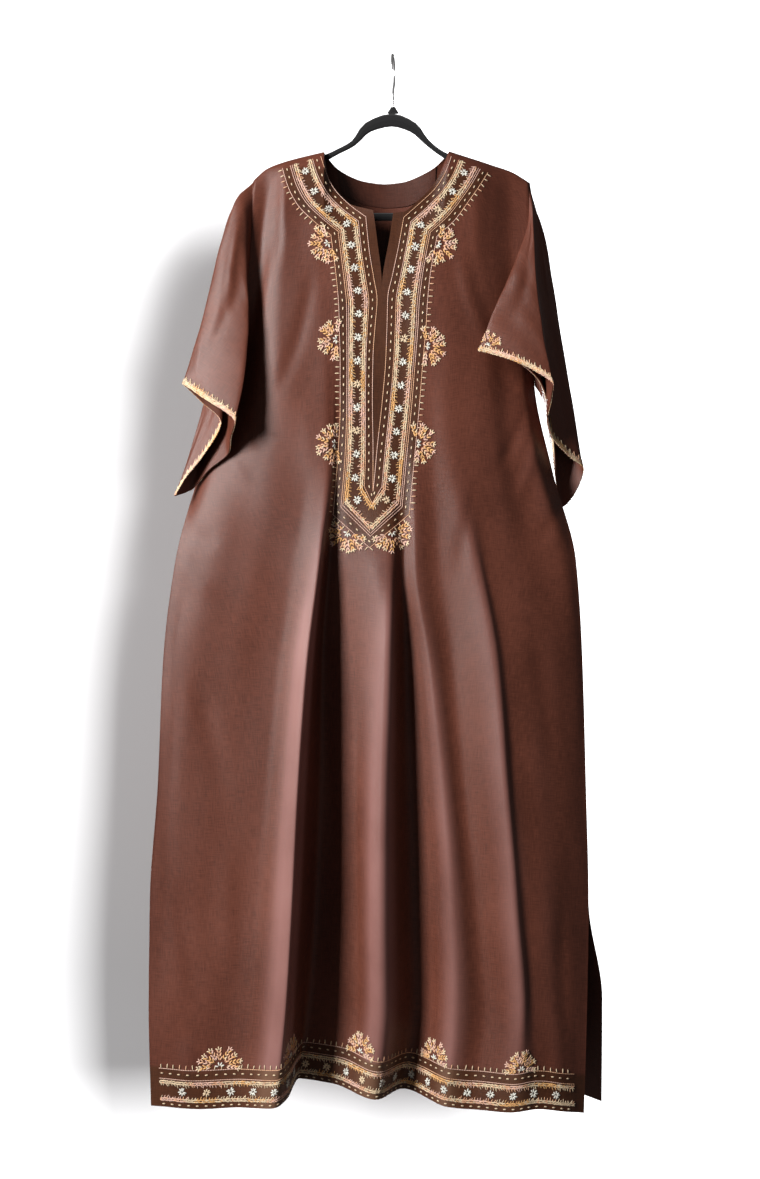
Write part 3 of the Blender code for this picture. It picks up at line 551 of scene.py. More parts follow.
BACK_CREASES = (
    ("left blade pull", -150, -210, -120, -380, 12, -1.7, 6),
    ("right blade pull", 140, -215, 105, -370, 11, -1.6, -5),
    ("left underarm drag", -215, -500, -140, -600, 12, 1.5, 6),
    ("right underarm drag", 200, -510, 120, -640, 11, -1.6, -6),
    ("seat crease left", -250, -820, -120, -862, 12, -1.6, 9),
    ("seat crease right", 70, -850, 220, -830, 11, -1.5, 8),
    ("seat ridge", -60, -900, 90, -915, 12, 1.3, -8),
    ("left calf trough", -220, -1080, -232, -1300, 13, -1.5, 6),
    ("middle trough", 36, -1050, 44, -1290, 12, -1.3, 5),
    ("right calf ridge", 160, -1100, 172, -1330, 12, 1.4, -5),
    ("hem kick", -150, -1440, -160, -1550, 14, 1.5, 3),
    ("hem kick right", 240, -1430, 262, -1560, 13, -1.4, 4),
)

back_grid = panel_grid(BACK, BACK_HEM, "back", BACK_CELLS, "left right")
back_grid = crease(back_grid, BACK_CREASES, 1)
back = cloth_sheet("back_cloth", back_grid, flip=True)
back.data.materials.append(cotton)
finish_sheet(back)
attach(back, "root")
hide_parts("back_panel")

# Back neck facing: a narrow shaped strip of the same cotton behind the back neckline, turned
# in along the neck edge and felled down by hand along its lower edge.
FACING_DEEP = 36
FACING_WALL = 0.8
inside_neck = [column for column in back_grid if -88 <= column[0, 0] <= 68]
facing_grid = []
for column in inside_neck:
    heights = np.linspace(column[0, 2] - 0.4, column[0, 2] - FACING_DEEP, 16)
    x = smooth(column[:, 2], column[:, 0], heights)
    y = smooth(column[:, 2], column[:, 1], heights)
    facing_grid.append(np.column_stack([x, y - 1.9, heights]))
facing = cloth_sheet("back_neck_facing_cloth", np.array(facing_grid), flip=True)
# Painted shade: the facing gets a darker copy of the cotton, for the shade inside the back neck.
facing.data.materials.append(cotton_material("brown_cotton_inside", 0.62))
finish_sheet(facing, FACING_WALL)
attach(facing, "root")
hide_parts("back_neck_facing")

# Sleeves: wide straight tubes set into the armholes. Each line runs from its height on the
# armhole (front or back half) through four points down to the cuff, x, depth and z.
SLEEVE_STATIONS = (0.0, 0.12, 0.4, 0.7, 1.0)
SLEEVE_LEFT = (
    ("top line", -187, "front",
     (-228, 1, -222), (-246, -10, -339), (-252, -22, -453), (-257, -36, -561)),
    ("top fold", -189, "front",
     (-232, -6, -216), (-254, -17, -312), (-270, -26, -427), (-286, -35, -529)),
    ("front lobe fold", -193, "front",
     (-235, -13, -216), (-260, -24, -293), (-286, -32, -407), (-314, -39, -503)),
    ("front lobe outer", -225, "front",
     (-226, -22, -240), (-250, -33, -312), (-272, -42, -415), (-298, -48, -514)),
    ("front lobe middle", -270, "front",
     (-220, -25, -287), (-234, -39, -354), (-252, -50, -438), (-277, -60, -529)),
    ("front lobe inner fold", -354, "front",
     (-217, -33, -366), (-214, -47, -414), (-219, -61, -488), (-232, -76, -564)),
    ("underside front", -438, "front",
     (-235, -21, -446), (-235, -32, -482), (-236, -42, -530), (-240, -54, -585)),
    ("underarm", -500, "front",
     (-254, -6, -512), (-254, -16, -537), (-249, -27, -570), (-245, -38, -605)),
    ("underside back", -458, "back",
     (-248, 10, -479), (-267, 6, -518), (-280, -4, -570), (-276, -22, -629)),
    ("back lobe corner", -423, "back",
     (-239, 14, -448), (-260, 12, -509), (-284, 2, -582), (-304, -12, -658)),
    ("back lobe fold", -369, "back",
     (-228, 18, -400), (-269, 6, -476), (-296, -12, -570), (-327, -28, -669)),
    ("back lobe hem", -300, "back",
     (-228, 14, -339), (-260, 0, -438), (-284, -14, -540), (-312, -28, -643)),
    ("back lobe inner", -240, "back",
     (-226, 8, -278), (-248, -4, -385), (-264, -17, -499), (-286, -30, -611)),
)
SLEEVE_RIGHT = (
    ("top line", -192, "front",
     (212, -4, -225), (216, -22, -336), (225, -36, -448), (229, -46, -552)),
    ("valley front", -196, "front",
     (211, -9, -226), (213, -35, -324), (222, -56, -430), (232, -70, -527)),
    ("front lobe fold", -213, "front",
     (210, -16, -239), (210, -46, -327), (217, -72, -424), (231, -94, -512)),
    ("front lobe middle", -245, "front",
     (204, -22, -266), (195, -45, -331), (185, -64, -403), (178, -80, -477)),
    ("front lobe point", -269, "front",
     (195, -24, -290), (172, -41, -344), (147, -54, -400), (125, -62, -458)),
    ("front lobe inside", -369, "front",
     (203, -33, -380), (196, -43, -406), (184, -50, -439), (175, -57, -470)),
    ("underside front", -438, "front",
     (213, -16, -448), (214, -26, -467), (216, -38, -485), (217, -52, -503)),
    ("underarm", -500, "front",
     (222, -4, -511), (228, -9, -528), (234, -16, -548), (239, -24, -568)),
    ("underside back", -445, "back",
     (221, 13, -468), (227, 15, -518), (238, 14, -576), (250, 10, -650)),
    ("back lobe corner", -392, "back",
     (219, 20, -423), (229, 27, -491), (243, 30, -579), (261, 24, -682)),
    ("back lobe hem", -331, "back",
     (220, 22, -366), (240, 28, -445), (263, 28, -552), (281, 16, -657)),
    ("outer fold", -225, "back",
     (225, 6, -251), (245, 12, -342), (266, 10, -473), (290, 4, -628)),
    ("outer panel", -207, "back",
     (220, 2, -240), (233, 0, -347), (248, -4, -473), (263, -10, -605)),
    ("valley back", -197, "back",
     (216, 0, -230), (223, -10, -342), (233, -18, -464), (237, -26, -579)),
)
SLEEVE_CELLS = 96
SLEEVE_COLUMNS_PER_LINE = 9
# Creases: place round the sleeve and along it at both ends, half width, depth.
SLEEVE_LEFT_CREASES = (
    ("cap pull", 1.6, 0.05, 2.4, 0.35, 9, -1.6),
    ("lobe drag", 3.2, 0.15, 3.9, 0.62, 11, 1.8),
    ("lobe trough", 4.4, 0.30, 3.4, 0.80, 10, -1.7),
    ("cuff kick", 2.6, 0.72, 2.9, 0.98, 12, 1.5),
    ("underarm crush", 6.2, 0.10, 7.4, 0.30, 9, -1.8),
    ("back drag", 9.2, 0.20, 9.9, 0.70, 11, -1.6),
    ("back ridge", 10.6, 0.30, 10.2, 0.85, 11, 1.5),
)
SLEEVE_RIGHT_CREASES = (
    ("cap pull", 2.4, 0.05, 2.9, 0.40, 9, -1.6),
    ("lobe drag", 3.6, 0.20, 3.1, 0.75, 12, 1.7),
    ("lobe trough", 2.6, 0.35, 3.4, 0.85, 11, -1.5),
    ("underarm crush", 6.1, 0.10, 7.3, 0.30, 9, -1.7),
    ("outer trough", 11.4, 0.25, 11.0, 0.80, 10, -1.5),
    ("outer ridge", 12.2, 0.15, 11.8, 0.60, 9, 1.3),
    ("back drag", 9.4, 0.30, 9.9, 0.85, 12, -1.6),
)


def sleeve_grid(lines, table, side, creases):
    """Points of a sleeve, round it first and each line from the armhole to the cuff."""
    count = len(lines)
    fine = np.arange(count * SLEEVE_COLUMNS_PER_LINE + 1) / SLEEVE_COLUMNS_PER_LINE
    along = np.linspace(0, 1, SLEEVE_CELLS + 1) ** 1.1
    tracks = []
    for row in lines:
        knots = [(*armhole_point(table, row[1], row[2]), row[1]), *row[3:]]
        tracks.append([smooth(SLEEVE_STATIONS, [knot[axis] for knot in knots], along)
                       for axis in range(3)])
    tracks = np.array(tracks)
    padded = np.concatenate([tracks[-3:], tracks, tracks[:3]])
    around = np.arange(-3, count + 3)
    grid = np.zeros((len(fine), len(along), 3))
    for step in range(len(along)):
        for axis in range(3):
            grid[:, step, axis] = smooth(around, padded[:, axis, step], fine)
    underarm = [row[0] for row in lines].index("underarm")
    heights = [row[1] for row in lines] + [lines[0][1]]
    for place, at in enumerate(fine):
        z = float(np.interp(at, np.arange(count + 1), heights))
        x, y = armhole_point(table, z, "front" if at <= underarm else "back")
        grid[place, 0] = (x + side * 0.3, y, z)
    grid[:, 1, 0] = side * np.maximum(side * grid[:, 1, 0], side * grid[:, 0, 0])
    ahead = np.roll(grid[:-1], -1, axis=0) - np.roll(grid[:-1], 1, axis=0)
    ahead = np.concatenate([ahead, ahead[:1]])
    down = np.gradient(grid, axis=1)
    normal = np.cross(ahead, down) * side
    normal /= np.linalg.norm(normal, axis=2)[..., None] + 1e-9
    turns = fine[:, None]
    girth = np.linalg.norm(np.diff(grid, axis=0), axis=2).sum(axis=0)[None, :] / count
    push = 0.35 * np.sin(turns * 3.1 + along[None, :] * 9) * np.sin(along[None, :] * 23 + turns)
    for _, t0, a0, t1, a1, half_width, depth in creases:
        share = np.clip((along - a0) / (a1 - a0), 0, 1)[None, :]
        inside = np.clip(np.minimum(share, 1 - share) * 2.4, 0, 1)
        away = (turns - (t0 + (t1 - t0) * share)) * girth
        push = push + depth * np.exp(-(away / half_width) ** 2) * inside
    fall = np.clip(along * 8, 0, 1)[None, :]
    push = push * fall
    push[-1] = push[0]
    return grid + normal * push[..., None]


sleeve_shapes = {}
for name, lines, table, side, creases in (
        ("sleeve_left", SLEEVE_LEFT, ARMHOLE_LEFT, -1, SLEEVE_LEFT_CREASES),
        ("sleeve_right", SLEEVE_RIGHT, ARMHOLE_RIGHT, 1, SLEEVE_RIGHT_CREASES)):
    grid = sleeve_grid(lines, table, side, creases)
    sleeve_shapes[name] = grid
    sleeve = cloth_sheet(name + "_cloth", grid, flip=side > 0)
    bpy.ops.object.mode_set(mode="EDIT")
    bpy.ops.mesh.select_all(action="SELECT")
    bpy.ops.mesh.remove_doubles(threshold=0.000002)
    bpy.ops.object.mode_set(mode="OBJECT")
    sleeve.data.materials.append(cotton)
    finish_sheet(sleeve)
    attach(sleeve, "root")
    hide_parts(name)

# Neck band: hand embroidery in space-dyed cotton thread, worked on the front before the seams.
# Between the neckline and a blanket-stitched outer line run dashes, two feathered borders and
# a row of small flowers; leafy sprigs stand on the outer line. Lines are x and z on the cloth.
BAND_LEFT = (
    ("shoulder", -109, -155, -167, -173),
    ("neck side", -103, -176, -158, -203),
    ("neck curve", -90, -203, -143, -232),
    ("neck front", -65, -231, -118, -258),
    ("slit corner", -41, -250, -93, -279),
    ("slit upper", -36, -300, -87, -324),
    ("slit middle", -29, -343, -83, -361),
    ("slit foot", -24, -377, -81, -390),
    ("below slit", -27, -416, -80, -428),
    ("chest", -30, -460, -79, -470),
    ("breast", -31, -526, -79, -540),
    ("lower", -30, -600, -82, -606),
    ("corner", -30, -645, -90, -697),
    ("tip", -30, -663, -35, -747),
)
BAND_RIGHT = (
    ("shoulder", 88, -155, 143, -180),
    ("neck side", 81, -176, 130, -202),
    ("neck curve", 66, -202, 113, -227),
    ("neck front", 43, -226, 92, -256),
    ("slit corner", 16, -251, 66, -280),
    ("slit upper", 8, -296, 59, -316),
    ("slit middle", -1, -339, 54, -350),
    ("slit foot", -8, -373, 51, -384),
    ("below slit", -9, -410, 49, -418),
    ("chest", -11, -466, 44, -474),
    ("breast", -16, -526, 39, -536),
    ("lower", -24, -600, 32, -610),
    ("corner", -28, -645, 24, -697),
    ("tip", -30, -663, -35, -747),
)
BAND_CORNERS = (4, 12)
# Where each worked line lies between the neckline side (0) and the outer line (1).
BAND_ROWS = (
    ("inner line", "line", 0.0, 0),
    ("inner dashes", "dashes", 0.115, 0),
    ("inner feathers edge", "line", 0.215, 0),
    ("inner feathers", "feathers", 0.29, 1),
    ("flowers", "flowers", 0.468, 0),
    ("outer feathers", "feathers", 0.665, -1),
    ("double line one", "line", 0.745, 0),
    ("double line two", "line", 0.795, 0),
    ("outer dashes", "dashes", 0.895, 0),
    ("outer line", "comb", 1.0, 1),
)
FLOWER_PITCH = 35
FLOWER_START = 16
# Sprigs: x and z of the foot and the way it points, in degrees from straight up.
NECK_SPRIGS = (
    ("left neck", -94, -290, 112), ("left breast", -81, -436, 90),
    ("left band", -83, -592, 94), ("left tip", -66, -722, 152),
    ("right neck", 64, -291, -112), ("right breast", 47, -446, -88),
    ("right band", 33, -592, -86), ("right tip", -3, -722, -152),
)
THREADS = (
    ("white_thread", (0.96, 0.90, 0.80), "embroidery_cream"),
    ("cream_thread", (0.97, 0.71, 0.47), "embroidery_cream"),
    ("gold_thread", (0.93, 0.50, 0.19), "embroidery_gold"),
    ("peach_thread", (0.96, 0.52, 0.31), "embroidery_gold"),
    ("pink_thread", (0.95, 0.58, 0.46), "embroidery_gold"),
)
WHITE, CREAM, GOLD, PEACH, PINK = range(5)
rng = np.random.default_rng(7)


def spread(points, u, v):
    """Points of a laid grid at u and v: u picks the column, v the place down it."""
    columns = len(points["u"])
    at = np.interp(u, points["u"], np.arange(columns))
    down = np.interp(v, points["v"], np.arange(len(points["v"])))
    i = np.clip(at.astype(int), 0, columns - 2)
    j = np.clip(down.astype(int), 0, len(points["v"]) - 2)
    s = (at - i)[:, None]
    t = (down - j)[:, None]
    grid = points["grid"]
    near = grid[i, j] * (1 - s) + grid[i + 1, j] * s
    far = grid[i, j + 1] * (1 - s) + grid[i + 1, j + 1] * s
    return near * (1 - t) + far * t


def worked_line(path, kind, side, out):
    """Stitches along one line of points: x, z, angle, length, width, thread."""
    runs = np.hypot(*np.diff(path, axis=0).T)
    reach = np.concatenate([[0], np.cumsum(runs)])

    def at(distance):
        spot = np.array([np.interp(distance, reach, path[:, axis]) for axis in range(2)])
        ahead = np.array([np.interp(distance + 1.5, reach, path[:, axis]) -
                          np.interp(distance - 1.5, reach, path[:, axis]) for axis in range(2)])
        return spot, math.atan2(ahead[1], ahead[0])

    def dyed(distance, base=0):
        tone = math.sin(distance / 31 + base) + math.sin(distance / 13.7 + 2 * base)
        tone += rng.normal(0, 0.45)
        if tone > 1.1:
            return GOLD
        if tone > -0.5:
            return CREAM
        return PEACH if tone > -1.2 else PINK

    base = out * 5.1 + len(path) * 0.37 + path[0, 0] * 0.05
    stitches = []
    if kind in ("line", "comb"):
        for distance in np.arange(1.5, reach[-1], 3.3):
            spot, angle = at(distance)
            thread = PEACH if math.sin(distance / 47 + base) > 0.2 else PINK
            stitches.append((*spot, angle, 4.4, 1.35, thread))
    if kind == "comb":
        for distance in np.arange(3.0, reach[-1], 9.4):
            spot, angle = at(distance)
            lean = angle + side * (math.pi / 2) + rng.normal(0, 0.09)
            long = 7.8 * rng.uniform(0.85, 1.12)
            spot = spot + long * 0.5 * np.array([math.cos(lean), math.sin(lean)])
            stitches.append((*spot, lean, long, 2.0, CREAM if rng.random() < 0.7 else PEACH))
    if kind == "dashes":
        for distance in np.arange(5.0, reach[-1], 12.7):
            spot, angle = at(distance + rng.normal(0, 0.4))
            stitches.append((*spot, angle + rng.normal(0, 0.08), 5.2, 2.5, CREAM))
    if kind == "feathers":
        for number, distance in enumerate(np.arange(1.0, reach[-1], 2.1)):
            spot, angle = at(distance)
            for hand in (-1, 1):
                lean = angle + hand * rng.uniform(0.32, 0.85)
                shift = hand * rng.uniform(1.0, 1.9)
                place = spot + shift * np.array([-math.sin(angle), math.cos(angle)])
                stitches.append((*place, lean, rng.uniform(4.0, 5.4), 1.9, dyed(distance, base)))
            if number % 2 == 0:
                lean = angle + side * rng.uniform(0.7, 1.6)
                long = rng.uniform(3.2, 6.6)
                shift = side * 2.0
                place = spot + shift * np.array([-math.sin(angle), math.cos(angle)])
                place = place + 0.5 * long * np.array([math.cos(lean), math.sin(lean)])
                stitches.append((*place, lean, long, 1.5, dyed(distance, base)))
    if kind == "flowers":
        for distance in np.arange(out, reach[-1] - 4, FLOWER_PITCH):
            spot, angle = at(distance)
            stitches.extend(flower(spot, angle, 7.0))
    return stitches


def flower(spot, angle, reach):
    """Small daisy of eight long petals, each a single fat stitch."""
    petals = []
    thread = WHITE if rng.random() < 0.72 else CREAM
    for petal in range(8):
        turn = angle + petal * math.pi / 4 + rng.normal(0, 0.10)
        long = reach * rng.uniform(0.72, 1.0)
        middle = spot + (1.0 + long / 2) * np.array([math.cos(turn), math.sin(turn)]) * 0.92
        petals.append((*middle, turn, long, 2.8, thread))
    return petals


def sprig(spot, turn, size=1.0, sprays=(-88, -66, -44, -22, 0, 22, 44, 66, 88)):
    """Fan of leafy sprays with pale three-petalled tips round a small white flower."""
    stitches = []
    heading = math.radians(90 + turn)
    forward = np.array([math.cos(heading), math.sin(heading)])
    beside = np.array([math.sin(heading), -math.cos(heading)])

    def put(place, lean, long, width, thread):
        x, z = np.array(spot) + size * (place[0] * forward + place[1] * beside)
        stitches.append((x, z, heading - lean, size * long, max(size * width, 1.0), thread))

    def step(place, lean, long):
        return (place[0] + long * math.cos(lean), place[1] + long * math.sin(lean))

    for petal in (-70, -24, 24, 70):
        lean = math.radians(petal + rng.normal(0, 5))
        put(step((2.5, 0), lean, 4.2), lean, 6.6, 2.9, WHITE)
    for number, fan in enumerate(sprays):
        lean = math.radians(fan + rng.normal(0, 3))
        bow = math.copysign(rng.uniform(0.05, 0.16), lean)
        tone = (GOLD, PEACH, GOLD, PINK, PEACH)[number % 5]
        place = step((1.5, 0), lean, (11.5 if number % 2 else 9.5) + rng.normal(0, 0.6))
        for pair in range(3):
            put(step(place, lean, 2.4), lean, 5.2, 1.2, tone)
            for hand in (-1, 1):
                leaf = lean + hand * rng.uniform(0.30, 0.60)
                middle = step(place, leaf, 4.3)
                shade = tone if rng.random() < 0.7 else rng.choice((GOLD, PEACH, CREAM, PINK))
                put(middle, leaf, rng.uniform(6.4, 8.2), 2.7, shade)
            place = step(place, lean, 5.3)
            lean += bow
        pale = (CREAM, PINK, CREAM, CREAM)[number % 4]
        for petal in (-0.9, 0.0, 0.9):
            put(step(place, lean + petal, 3.1), lean + petal, 6.0, 2.5, pale)
    return stitches


def band_path(table, share):
    """One line of the neck band, smooth between its corners."""
    spots = np.array([[row[1] + (row[3] - row[1]) * share, row[2] + (row[4] - row[2]) * share]
                      for row in table])
    marks = [0, *BAND_CORNERS, len(table) - 1]
    pieces = []
    for start, end in zip(marks, marks[1:]):
        fine = np.linspace(start, end, (end - start) * 12 + 1)
        knots = np.arange(start, end + 1)
        if end - start == 1:
            run = [np.interp(fine, knots, spots[start:end + 1, axis]) for axis in range(2)]
        else:
            run = [smooth(knots, spots[start:end + 1, axis], fine) for axis in range(2)]
        pieces.append(np.column_stack(run)[0 if start == 0 else 1:])
    return np.concatenate(pieces)


def sew(name, surface, stitches, outward, lift=0.25):
    """Copies one stitch onto the cloth at every row and joins them, one mesh for each slot."""
    stitches = np.array(stitches)
    bpy.ops.object.select_all(action="DESELECT")
    bpy.ops.mesh.primitive_uv_sphere_add(segments=5, ring_count=3, radius=0.5)
    seed = bpy.context.object
    shape = np.array([vert.co[:] for vert in seed.data.vertices])[:, [2, 0, 1]]
    faces = [list(face.vertices) for face in seed.data.polygons]
    bpy.data.objects.remove(seed, do_unlink=True)
    u, v, angle, long, wide, thread = stitches.T
    middle = spread(surface, u, v)
    step = 0.8
    along_u = spread(surface, u + step, v) - spread(surface, u - step, v)
    along_v = spread(surface, u, v + step) - spread(surface, u, v - step)
    along_u /= np.linalg.norm(along_u, axis=1)[:, None] + 1e-9
    along_v /= np.linalg.norm(along_v, axis=1)[:, None] + 1e-9
    normal = np.cross(along_u, along_v) * outward
    normal /= np.linalg.norm(normal, axis=1)[:, None] + 1e-9
    forward = along_u * np.cos(angle)[:, None] + along_v * np.sin(angle)[:, None]
    forward -= normal * (forward * normal).sum(axis=1)[:, None]
    forward /= np.linalg.norm(forward, axis=1)[:, None]
    beside = np.cross(normal, forward)
    high = np.clip(wide * 0.62, 0.6, 1.3)
    middle = middle + normal * (lift + high * 0.18)[:, None]
    made = []
    for slot in ("embroidery_cream", "embroidery_gold"):
        numbers = [number for number, row in enumerate(THREADS) if row[2] == slot]
        chosen = np.flatnonzero(np.isin(thread, numbers))
        if not len(chosen):
            continue
        corners = (middle[chosen, None]
                   + shape[None, :, :1] * (long[chosen, None, None] * forward[chosen, None])
                   + shape[None, :, 1:2] * (wide[chosen, None, None] * beside[chosen, None])
                   + shape[None, :, 2:] * (high[chosen, None, None] * normal[chosen, None]))
        count = len(shape)
        joined = [[number + row * count for number in face]
                  for row in range(len(chosen)) for face in faces]
        data = bpy.data.meshes.new(name + "_" + slot.split("_")[1])
        data.from_pydata((corners.reshape(-1, 3) * 0.001).tolist(), [], joined)
        for number in numbers:
            data.materials.append(thread_material(number))
        which = np.repeat(thread[chosen].astype(int), len(faces))
        data.polygons.foreach_set("material_index", np.array([numbers.index(k) for k in which]))
        data.shade_smooth()
        piece = bpy.data.objects.new(data.name, data)
        bpy.context.scene.collection.objects.link(piece)
        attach(piece, "root")
        made.append(piece)
    return made


def thread_material(number):
    """Stranded cotton: soft sheen, a fine twist and small changes of the dye."""
    name, colour, _ = THREADS[number]
    if name in bpy.data.materials:
        return bpy.data.materials[name]
    material = bpy.data.materials.new(name)
    material.use_nodes = True
    nodes = material.node_tree.nodes
    links = material.node_tree.links
    shader = nodes["Principled BSDF"]
    shader.inputs["Roughness"].default_value = 0.55
    shader.inputs["Sheen Weight"].default_value = 0.2
    place = nodes.new("ShaderNodeTexCoord")
    dye = nodes.new("ShaderNodeTexNoise")
    dye.inputs["Scale"].default_value = 210
    dye.inputs["Detail"].default_value = 2
    links.new(place.outputs["Object"], dye.inputs["Vector"])
    ramp = nodes.new("ShaderNodeValToRGB")
    ramp.color_ramp.elements[0].position = 0.3
    ramp.color_ramp.elements[0].color = (*[part * 0.72 for part in colour], 1)
    ramp.color_ramp.elements[1].position = 0.66
    ramp.color_ramp.elements[1].color = (*[min(part * 1.12, 1) for part in colour], 1)
    links.new(dye.outputs["Fac"], ramp.inputs["Fac"])
    links.new(ramp.outputs["Color"], shader.inputs["Base Color"])
    twist = nodes.new("ShaderNodeTexWave")
    twist.bands_direction = "DIAGONAL"
    twist.inputs["Scale"].default_value = 900
    links.new(place.outputs["Object"], twist.inputs["Vector"])
    bump = nodes.new("ShaderNodeBump")
    bump.inputs["Strength"].default_value = 0.35
    bump.inputs["Distance"].default_value = 0.0002
    links.new(twist.outputs["Fac"], bump.inputs["Height"])
    links.new(bump.outputs["Normal"], shader.inputs["Normal"])
    return material


chest_heights = np.arange(-150, -800, -2.0)
chest_x = np.arange(-190, 170, 2.0)
chest = np.zeros((len(chest_x), len(chest_heights), 3))
for row, z in enumerate(chest_heights):
    across = [np.interp(-z, -column[:, 2], column[:, 0]) for column in front_grid]
    deep = [np.interp(-z, -column[:, 2], column[:, 1]) for column in front_grid]
    known = [place for place, column in enumerate(front_grid) if column[0, 2] >= z]
    y = np.interp(chest_x, np.array(across)[known], np.array(deep)[known])
    chest[:, row] = np.column_stack([chest_x, y, np.full(len(chest_x), z)])
chest_surface = {"u": chest_x, "v": chest_heights[::-1], "grid": chest[:, ::-1]}
stitches = []
for table, hand in ((BAND_LEFT, -1), (BAND_RIGHT, 1)):
    for name, kind, share, side in BAND_ROWS:
        out = FLOWER_START if kind == "flowers" else share
        stitches += worked_line(band_path(table, share), kind, side * hand, out)
for _, x, z, turn in NECK_SPRIGS:
    stitches += sprig((x, z), turn)
sew("neck_embroidery", chest_surface, stitches, 1)


def covered(places, outline):
    """Which places, x and z, lie inside a closed outline."""
    within = np.zeros(len(places), dtype=bool)
    for (x0, z0), (x1, z1) in zip(outline, np.roll(outline, -1, axis=0)):
        if z0 == z1:
            continue
        cross = x0 + (places[:, 1] - z0) * (x1 - x0) / (z1 - z0)
        within ^= ((places[:, 1] < z0) != (places[:, 1] < z1)) & (places[:, 0] < cross)
    return within


# The cloth between the worked borders, and the hem band, is painted darker and more olive as
# painted shade among the stitches.
front_mesh = bpy.data.objects["front_cloth"].data
band_shade = front_mesh.attributes.new("worked_ground", "FLOAT", "POINT")
spots = np.array([vert.co[:] for vert in front_mesh.vertices])[:, [0, 2]] * 1000
outline = np.concatenate([band_path(BAND_LEFT, 1.0), band_path(BAND_RIGHT, 1.0)[::-1]])
hem_line = smooth([row[0] for row in FRONT_HEM], [row[1] for row in FRONT_HEM], spots[:, 0])
worked = covered(spots, outline) | (spots[:, 1] - hem_line < 57)
band_shade.data.foreach_set("value", worked.astype(float))

# Hem band: the same borders worked round the front hem, a hand's width high, with five sprigs
# standing on it. Places run along the hem from the left side and up from its edge.
HEM_ROWS = (
    ("edge dashes", "dashes", 4.5, 0),
    ("lower feathers", "feathers", 11.5, 1),
    ("flowers", "flowers", 24, 0),
    ("upper feathers", "feathers", 37, -1),
    ("thin line", "line", 42, 0),
    ("upper dashes", "dashes", 50, 0),
    ("comb line", "comb", 57, 1),
)
HEM_FROM = 15
HEM_SPRIGS = (100, 232, 385, 545, 690)


def edge_surface(grid, deep, step=2.0):
    """Surface beside an edge: u along the last row of the grid, v up from it."""
    edge = np.concatenate([[0], np.cumsum(np.linalg.norm(np.diff(grid[:, -1], axis=0), axis=1))])
    ups = np.arange(0, deep, step)
    points = np.zeros((len(grid), len(ups), 3))
    for place, column in enumerate(grid):
        upward = column[::-1]
        climb = np.concatenate([[0], np.cumsum(np.linalg.norm(np.diff(upward, axis=0), axis=1))])
        for axis in range(3):
            points[place, :, axis] = np.interp(ups, climb, upward[:, axis])
    return {"u": edge, "v": ups, "grid": points}


whole_columns = np.delete(front_grid, centre, axis=0)
hem_surface = edge_surface(whole_columns, 120)
hem_length = hem_surface["u"][-1]
stitches = []
for name, kind, height, side in HEM_ROWS:
    run = np.arange(HEM_FROM, hem_length - HEM_FROM + 1, 4.0)
    path = np.column_stack([run, np.full(len(run), float(height))])
    stitches += worked_line(path, kind, side, 34 if kind == "flowers" else height)
for place in HEM_SPRIGS:
    stitches += sprig((place, 59), 0)
sew("hem_embroidery", hem_surface, stitches, 1)

# Cuffs: the edge of each sleeve is bound with the same feathering, with blanket-stitch ticks
# that point up the sleeve, and a small sprig stands on the point of the right sleeve's front.
CUFF_SPRIG_LINE = 3.72
for name, outward in (("sleeve_left", 1), ("sleeve_right", -1)):
    cuff_surface = edge_surface(sleeve_shapes[name], 80)
    around = cuff_surface["u"]
    stitches = []
    run = np.arange(0, around[-1], 3.0)
    for kind, height in (("feathers", 2.6), ("feathers", 4.6), ("comb", 7.0)):
        path = np.column_stack([run, np.full(len(run), height)])
        stitches += worked_line(path, kind, 1, height)
    if name == "sleeve_right":
        point = around[round(CUFF_SPRIG_LINE * SLEEVE_COLUMNS_PER_LINE)]
        stitches += sprig((point, 9.0), 0, 0.78, (-62, -38, -14, 10, 34, 58))
    sew(name + "_embroidery", cuff_surface, stitches, outward)


# Hanger: a flat moulded loop covered in black flock. The frame's own solid has its true
# shape, so it keeps it; the flock is a short dense nap that hardly shines.
flock = bpy.data.materials.new("black_flock_nap")
flock.use_nodes = True
nodes = flock.node_tree.nodes
links = flock.node_tree.links
shader = nodes["Principled BSDF"]
shader.inputs["Sheen Weight"].default_value = 0.25
shader.inputs["Sheen Roughness"].default_value = 0.6
shader.inputs["Specular IOR Level"].default_value = 0.1
place = nodes.new("ShaderNodeTexCoord")
nap = nodes.new("ShaderNodeTexNoise")
nap.inputs["Scale"].default_value = 1400
links.new(place.outputs["Object"], nap.inputs["Vector"])
ramp = nodes.new("ShaderNodeValToRGB")
ramp.color_ramp.elements[0].position = 0.35
ramp.color_ramp.elements[0].color = (0.004, 0.004, 0.005, 1)
ramp.color_ramp.elements[1].position = 0.7
ramp.color_ramp.elements[1].color = (0.016, 0.016, 0.017, 1)
links.new(nap.outputs["Fac"], ramp.inputs["Fac"])
links.new(ramp.outputs["Color"], shader.inputs["Base Color"])
shader.inputs["Roughness"].default_value = 0.95
bump = nodes.new("ShaderNodeBump")
bump.inputs["Strength"].default_value = 0.4
bump.inputs["Distance"].default_value = 0.0005
links.new(nap.outputs["Fac"], bump.inputs["Height"])
links.new(bump.outputs["Normal"], shader.inputs["Normal"])
for name in ("hanger_body", "hook_collar"):
    for slot in frame["nodes"][name].material_slots:
        slot.material = flock

